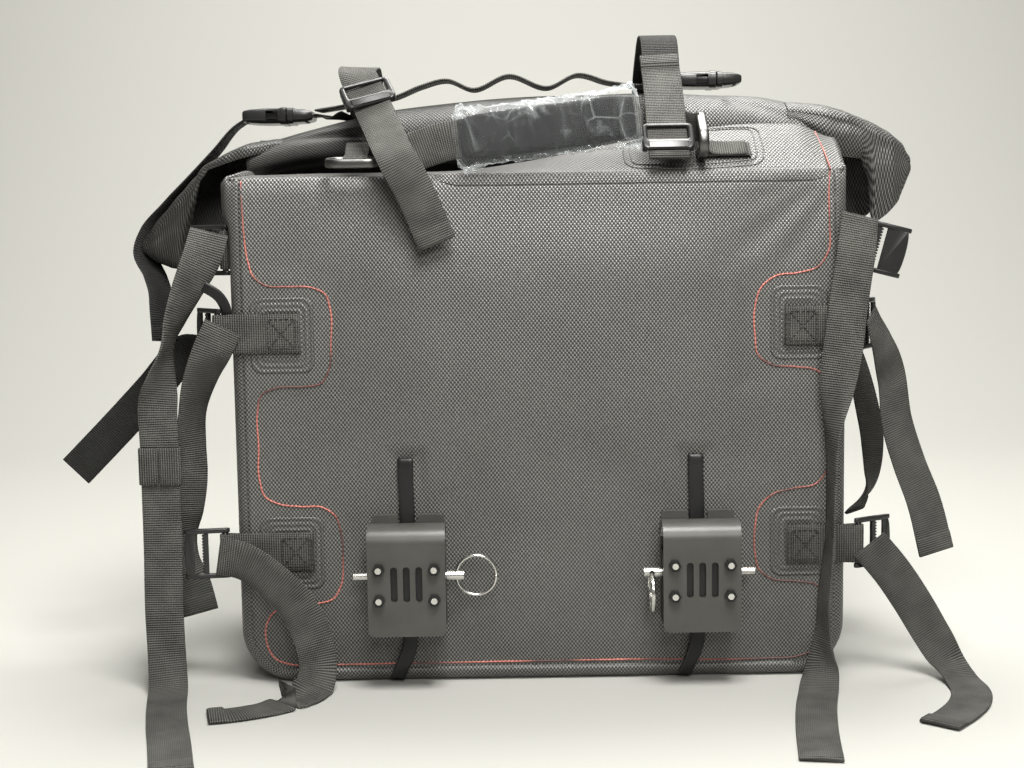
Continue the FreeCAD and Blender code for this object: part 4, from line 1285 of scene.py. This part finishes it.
# ---------------------------------------------------------------- ladder locks and cinch buckles
def ladder_lock(name, body, origin, turn, length, front, plate_from, lean=0.0, more=()):
    """Lock with its bar on the local Z axis, two side rails, a toothed bar and an end plate.
    front is the side of the local Y axis that is seen from the bike side."""
    inside, rail = 13.4, 3.1
    edge = inside + 0.6
    pointed = length - 1.5
    profile = [(-3.1, 0.6), (-2.0, 1.7), (0, 2.1), (length * 0.3, 1.9), (length * 0.62, 2.5),
               (length - 2, 2.0), (length + 0.6, 1.1), (length + 1.0, -0.3), (length - 1, -1.3),
               (length * 0.5, -1.8), (0, -2.1), (-2.2, -1.6), (-3.1, -0.6)]
    rails = [flat_plate("rail", [(x, y * front) for x, y in profile], [], rail, 0.7,
                        offset=(0, 0, side * (inside + rail / 2))) for side in (-1, 1)]
    pieces = [rod("bar", (0, 0, -inside - 1), (0, 0, inside + 1), 2.0)]
    middle = length * 0.42
    toothed = [(middle, -edge), (middle, edge), (middle + 3.0, edge)]
    for k in range(6, -7, -1):
        toothed += [(middle + 3.0, k * 2 + 0.9), (middle + 4.1, k * 2 + 0.45),
                    (middle + 4.1, k * 2 - 0.45), (middle + 3.0, k * 2 - 0.9)]
    toothed.append((middle + 3.0, -edge))
    pieces.append(flat_plate("toothed", toothed, [], 2.6, 0.35, standing=True,
                             offset=(0, 0.2 * front, 0)))
    bow = [(plate_from, -edge), (pointed, -edge)]
    bow += [(pointed + 2.2 * math.cos(math.radians(a)), edge * math.sin(math.radians(a)))
            for a in range(-80, 81, 16)]
    bow += [(pointed, edge), (plate_from, edge)]
    pieces.append(flat_plate("plate", bow, [], 1.9, 0.5, standing=True,
                             offset=(0, 0.9 * front, 0)))
    for start, end in more:
        pieces.append(block("cross", (start, -1.5, -edge), (end, 1.3, edge), ease=0.4))
    obj = combined(rails[0], rails[1:] + pieces)
    obj.name = name + "_lock"
    place = Matrix.Translation(Vector(origin) * MM) @ Matrix.Rotation(math.radians(lean), 4, "Y")
    moved(obj, place @ Matrix.Rotation(math.radians(turn), 4, "Z"))
    return finished(obj, name, body)


for level_name, height, side, place, turn in (
        ("upper", UPPER, -1, "left", 128), ("lower", LOWER, -1, "left", 188),
        ("upper", UPPER, 1, "right", 58), ("lower", LOWER, 1, "right", 30)):
    ladder_lock(f"ladder_lock_{level_name}_{place}", f"{level_name}_{place}_lock",
                (side * LOCK_X, LOCK_Y, height), turn, 26, -side, 20)
ladder_lock("cinch_buckle_left", "left_cinch", (-204.2, -85, CINCH_Z), 165, 23, 1, 17)
ladder_lock("cinch_buckle_right", "right_cinch", (204.2, -85, CINCH_Z), -8, 36, -1, 21.5, 15,
            [(8.5, 12.0)])


# ---------------------------------------------------------------- slides, rings and buckles
def slide(name, body, top, low, distance):
    """Slide on a straight strap: a frame in front of the webbing and a bar behind it."""
    top, low = Vector(top), Vector(low)
    run = (low - top).normalized()
    across = (Vector((1, 0, 0)) - run * run.x).normalized()
    normal = across.cross(run)
    if normal.y > 0:
        normal = -normal
    window = rounded_rectangle(-13.2, 13.2, -2.6, 8.4, 1.2)
    frame_plate = flat_plate("frame", rounded_rectangle(-17, 17, -11, 11, 4.2), [window], 3.0, 1.2,
                             standing=True, offset=(0, -2.4, 0))
    low_bar = flat_plate("low_bar", [(-4.4, -10.4), (-1.4, -10.4), (-1.4, -2.9), (-2.8, -2.9),
                                     (-5.2, -6.4)], [], 25.5, 0.3)
    moved(low_bar, Matrix.Rotation(math.pi / 2, 4, "Y") @ Matrix.Rotation(math.pi / 2, 4, "Z"))
    sides = [block("side", (x - 1.7, -2.6, -8.6), (x + 1.7, 2.8, 8.6), ease=1.0)
             for x in (-15.1, 15.1)]
    back = block("back", (-15, 1.4, -2.1), (15, 2.8, 2.1), ease=0.5)
    obj = combined(frame_plate, sides + [back, low_bar])
    obj.name = name + "_slide"
    turn = Matrix((across, -normal, -run)).transposed().to_4x4()
    moved(obj, Matrix.Translation((top + run * distance) * MM) @ turn)
    return finished(obj, name, body)


slide("triglide_left", "left_triglide", (-117, -58, 401), (-88, -114, 342), 22)
slide("triglide_right", "right_triglide", (85, -52, 400), (85, -101, 341), 60)


def band_ring(name, body, origin, x_dir, z_dir, wide):
    """Ring of flat bar: a long oval whose foot lies on the origin."""
    long_side, short_side, thin = 34, 17, 1.7
    x_dir, z_dir = Vector(x_dir).normalized(), Vector(z_dir).normalized()
    y_dir = z_dir.cross(x_dir)
    r = short_side / 2
    straight = long_side / 2 - r
    path = [(x, 0.0, 270) for x in np.linspace(-straight, straight, 8)]
    path += [(straight + r * math.cos(math.radians(a)), r + r * math.sin(math.radians(a)), a)
             for a in range(-75, 90, 15)]
    path += [(x, short_side, 90) for x in np.linspace(straight, -straight, 8)]
    path += [(-straight + r * math.cos(math.radians(a)), r + r * math.sin(math.radians(a)), a)
             for a in range(105, 270, 15)]
    rows = []
    for x, z, a in path + path[:1]:
        out = x_dir * math.cos(math.radians(a)) + z_dir * math.sin(math.radians(a))
        middle = Vector(origin) + x_dir * x + z_dir * z
        ring = []
        for k in range(16):
            q = 2 * math.pi * k / 16
            c, t = math.cos(q), math.sin(q)
            ring.append(middle + out * thin * boxy(c, 0.7) + y_dir * wide * boxy(t, 0.7))
        rows.append(ring)
    obj = grid(name + "_band", rows, 0.0, 0.0, closed=True)
    outward(obj, weld=True)
    shaded_smooth(obj)
    return dress(obj, "steel", body, look="dark_metal", replaces=(name,))


TUBE_Y, PIN_Z = -116.7, 75.5        # y of the rack tube's axis, height of the pull pins' rings
RING = 12.9                         # middle of the wire from the middle of a split ring


def split_ring(name, body, hub, axis):
    """Double coil of round wire."""
    hub, axis = Vector(hub), Vector(axis)
    other = Vector((1, 0, 0)) if abs(axis.x) < 0.5 else Vector((0, 1, 0))
    third = axis.cross(other)
    rows = []
    turns, count = 2, 144
    for k in range(count + 1):
        a = 2 * math.pi * turns * k / count
        shift = 1.5 * (k / count - 0.5)
        out = other * math.cos(a) + third * math.sin(a)
        middle = hub + out * RING + axis * shift
        rows.append([middle + (out * math.cos(q) + axis * math.sin(q)) * 1.0
                     for q in np.linspace(0, 2 * math.pi, 14, endpoint=False)])
    obj = grid(name + "_coil", rows, 0.0, 0.0, closed=True, caps=True)
    return dress(obj, "steel", body, replaces=(name,))


split_ring("split_ring_left", "left_ring", (HOOKS[0] + 31.5 + 13, TUBE_Y, PIN_Z), (0, 1, 0))
split_ring("split_ring_right", "right_ring", (HOOKS[1] - 31.5, TUBE_Y, PIN_Z - 13), (1, 0, 0))


# Direction up the bike-side top panel, and out of it.
SLOPE = Vector((0, 45, 33)).normalized()
SLOPE_OUT = Vector((0, -SLOPE.z, SLOPE.y))
left_foot = Vector((-117, -100, 333)) + SLOPE * 12 + SLOPE_OUT * 3.5
right_foot = Vector((107, -100, 333)) + SLOPE * 24 + SLOPE_OUT * 3.5
dip = math.radians(8)
band_ring("handle_ring_left", "left_handle_ring", left_foot, (1, 0, 0),
          (0, -math.cos(dip), -math.sin(dip)), 2.9)
band_ring("handle_ring_right", "right_handle_ring", right_foot, SLOPE, SLOPE_OUT, 3.2)


def handle_tab(name, foot, loop_dir, run_dir, length, replaces):
    """Webbing from under the top panel, once round the ring's bar, sewn down on itself."""
    run = Vector(run_dir)
    stations = []
    for along, high in ((length, -3.1), (8, -3.0), (3.5, -3.1), (0, -3.1), (-2.6, -1.8),
                        (-3.1, 0.2), (-2.2, 2.3), (0, 3.1), (3.2, 1.8), (7, -1.3), (10, -1.8),
                        (length - 3, -1.9)):
        place = foot + run * along + SLOPE_OUT * high
        stations.append((*place, tuple(loop_dir)))
    webbing(name, "bag", stations, width=15, thickness=1.15, replaces=replaces, step=0.7)


handle_tab("handle_tab_left", left_foot, (1, 0, 0), SLOPE, 26, ("handle_tabs",))
handle_tab("handle_tab_right", right_foot, tuple(-SLOPE), (1, 0, 0), 33, ())


def release_buckle(place, at, socket_body, plug_body):
    """Side-release buckle: a hollow socket and a tapered plug with three prongs."""
    x, y, z = at
    socket = loft("socket", [(x - 30.5, y, z, 13.5, 3.6), (x - 29.5, y, z, 14.6, 4.4),
                             (x - 26, y, z, 15.6, 5.0), (x - 16, y, z, 16.0, 5.6),
                             (x - 5, y, z, 16.0, 5.6), (x - 4, y, z, 16.2, 6.2),
                             (x - 0.4, y, z, 16.2, 6.2), (x, y, z, 15.8, 5.8)])
    space = block("space", (x - 24, y - 13.2, z - 3.3), (x + 1, y + 13.2, z + 3.3), ease=0)
    window = block("window", (x - 14, y - 30, z - 3.3), (x - 5.5, y + 30, z + 3.3), ease=0)
    slot = block("slot", (x - 28.6, y - 12.4, z - 10), (x - 26.6, y + 12.4, z + 10), ease=0)
    combined(socket, [space, window, slot], "DIFFERENCE")
    socket.name = f"roll_buckle_{place}_socket_shell"
    finished(socket, f"roll_buckle_{place}_socket", socket_body)
    plug = loft("plug", [(x + 0.6, y, z, 15.6, 5.4), (x + 1.0, y, z, 16.0, 5.8),
                         (x + 4.5, y, z, 16.0, 5.8), (x + 5.0, y, z, 15.4, 5.0),
                         (x + 12, y, z, 15.2, 4.6), (x + 17, y, z, 14.4, 3.4),
                         (x + 18, y, z, 13.6, 2.6)])
    prongs = [block("prong", (x - 20 + 2 * abs(k), y + 10.4 * k - 1.7, z - 2.5),
                    (x + 2, y + 10.4 * k + 1.7, z + 2.5), ease=0.5) for k in (-1, 0, 1)]
    combined(plug, prongs)
    combined(plug, [block("slot", (x + 12.4, y - 12.4, z - 10), (x + 14.6, y + 12.4, z + 10),
                          ease=0)], "DIFFERENCE")
    plug.name = f"roll_buckle_{place}_plug_body"
    finished(plug, f"roll_buckle_{place}_plug", plug_body)


release_buckle("left", (-172, 0, 378.5), "roll_buckle_left", "roll")
release_buckle("right", (128, 10, 400), "roll", "roll_buckle_right")
webbing("roll_strap_middle", "roll",
        [(-157.5, 0, 378.5, 90), (-150, 0, 379, 90), (-143, -3, 378, 60), (-136, -8, 376, 35),
         (-128, -12, 378, 20)],
        width=20, thickness=1.4, look="painted_shade_webbing")
webbing("roll_strap_right", "roll",
        [(103, 10, 400.5, 90), (98, 10, 401.5, 90), (92, 10, 402, 90), (80, 8, 399, 90)],
        width=22, thickness=1.4)

# ---------------------------------------------------------------- tie straps of the rack hooks
for index, centre in enumerate(HOOKS):
    webbing(f"tie_strap_{index}_upper", "bag",
            [(centre - 0.5, -102.2, 104, 4), (centre - 0.5, -102.4, 120, 2),
             (centre - 1, -102.9, 138, 0), (centre - 1, -103.3, 147, -2),
             (centre - 1, -102.6, 149.6, -2), (centre - 1, -101.2, 149.8, -2),
             (centre - 1, -100.9, 147, -2), (centre - 1, -100.9, 136, 0)],
            width=10, thickness=1.3, slot="rubber", step=1.0,
            replaces=("tie_straps",) if index == 0 else ())
    webbing(f"tie_strap_{index}_lower", "bag",
            [(centre, -102.0, 44, 0), (centre, -102.4, 32, 4), (centre - 2, -103.6, 20, 14),
             (centre - 6, -104.6, 11, 22), (centre - 9, -103.6, 4, 16)],
            width=10, thickness=1.6, slot="rubber", step=1.0)

# ---------------------------------------------------------------- CAD pieces that stay
slots = {row["node"]: row["material_slot"] for row in frame["record"]["subparts"]}
bolt_places = [(centre + side * BOLT_OFF, z) for centre in HOOKS for side in (-1, 1)
               for z in (62.5, 82.5)]
BARE = 2.3                  # the bolts are bare steel inside this radius, dark outside it
looks = {"clamp_blocks": "rubber", "hook_sleeves": "block_plastic"}
bevels = {"hook_plate_left": 0.9, "hook_plate_right": 0.9, "base_plates": 1.0, "clamp_blocks": 0.6,
          "hook_bolts": 0.3, "base_screws": 0.3, "pull_pin_left": 0.5, "pull_pin_right": 0.5,
          "base_board": 0.5}
for name, obj in nodes.items():
    if obj.hide_render:
        continue
    obj.data.materials.clear()
    obj.data.materials.append(materials[looks.get(name, slots[name])])
    shaded_smooth(obj)
    if name == "hook_bolts":
        obj.data.materials.append(materials["rubber"])
        for face in obj.data.polygons:
            x, y, z = (obj.matrix_world @ face.center) / MM
            off = min(math.hypot(x - bolt_x, z - bolt_z) for bolt_x, bolt_z in bolt_places)
            face.material_index = 1 if off > BARE else 0
    if name in bevels:
        bevelled(obj, bevels[name], 3, 30.0)
    else:
        obj.data.set_sharp_from_angle(angle=math.radians(32))

# ---------------------------------------------------------------- floor, backdrop and light
material("backdrop", (0.42, 0.418, 0.396), 0.95, specular=0.05)
profile = [(-1.15, 0.0), (0.9, 0.0)] + [(0.9 + 1.1 * math.sin(a), 1.1 - 1.1 * math.cos(a))
                                       for a in np.linspace(0.1, math.pi / 2, 14)] + [(2.0, 3.4)]
floor = grid("floor", [[(x * 1000, y * 1000, z * 1000) for x in (-1.45, 1.45)] for y, z in profile],
             np.zeros((len(profile), 2)), np.zeros((len(profile), 2)))
floor.data.materials.append(materials["backdrop"])


def area_light(name, place, target, size, power):
    data = bpy.data.lights.new(name, "AREA")
    data.energy = power
    data.size = size
    data.color = (1.0, 0.985, 0.95)
    obj = linked(name, data)
    obj.location = place
    obj.rotation_euler = (Vector(target) - Vector(place)).to_track_quat("-Z", "Y").to_euler()


area_light("key_light", (0.10, -0.62, 1.22), (0, -0.05, 0.30), 0.45, 23)
area_light("top_light", (0.20, 0.35, 1.45), (0, 0, 0.3), 0.7, 15)
area_light("front_light", (0.25, -2.0, 1.30), (0, -0.1, 0.25), 0.7, 20)
area_light("wall_light", (0.0, 0.75, 2.3), (0, 2.1, 0.7), 1.2, 66)
world = bpy.data.worlds.new("studio")
world.use_nodes = True
background = world.node_tree.nodes["Background"]
background.inputs["Color"].default_value = (1.0, 0.98, 0.90, 1.0)
# The pale surroundings are seen by the camera but give only a weak fill light.
rays = node(world.node_tree, "ShaderNodeLightPath")
seen = maths(world.node_tree, "MULTIPLY", rays.outputs["Is Camera Ray"], 0.58)
world.node_tree.links.new(maths(world.node_tree, "ADD", seen, 0.12), background.inputs["Strength"])
scene.world = world

print("strap lengths in mm:", strap_lengths)
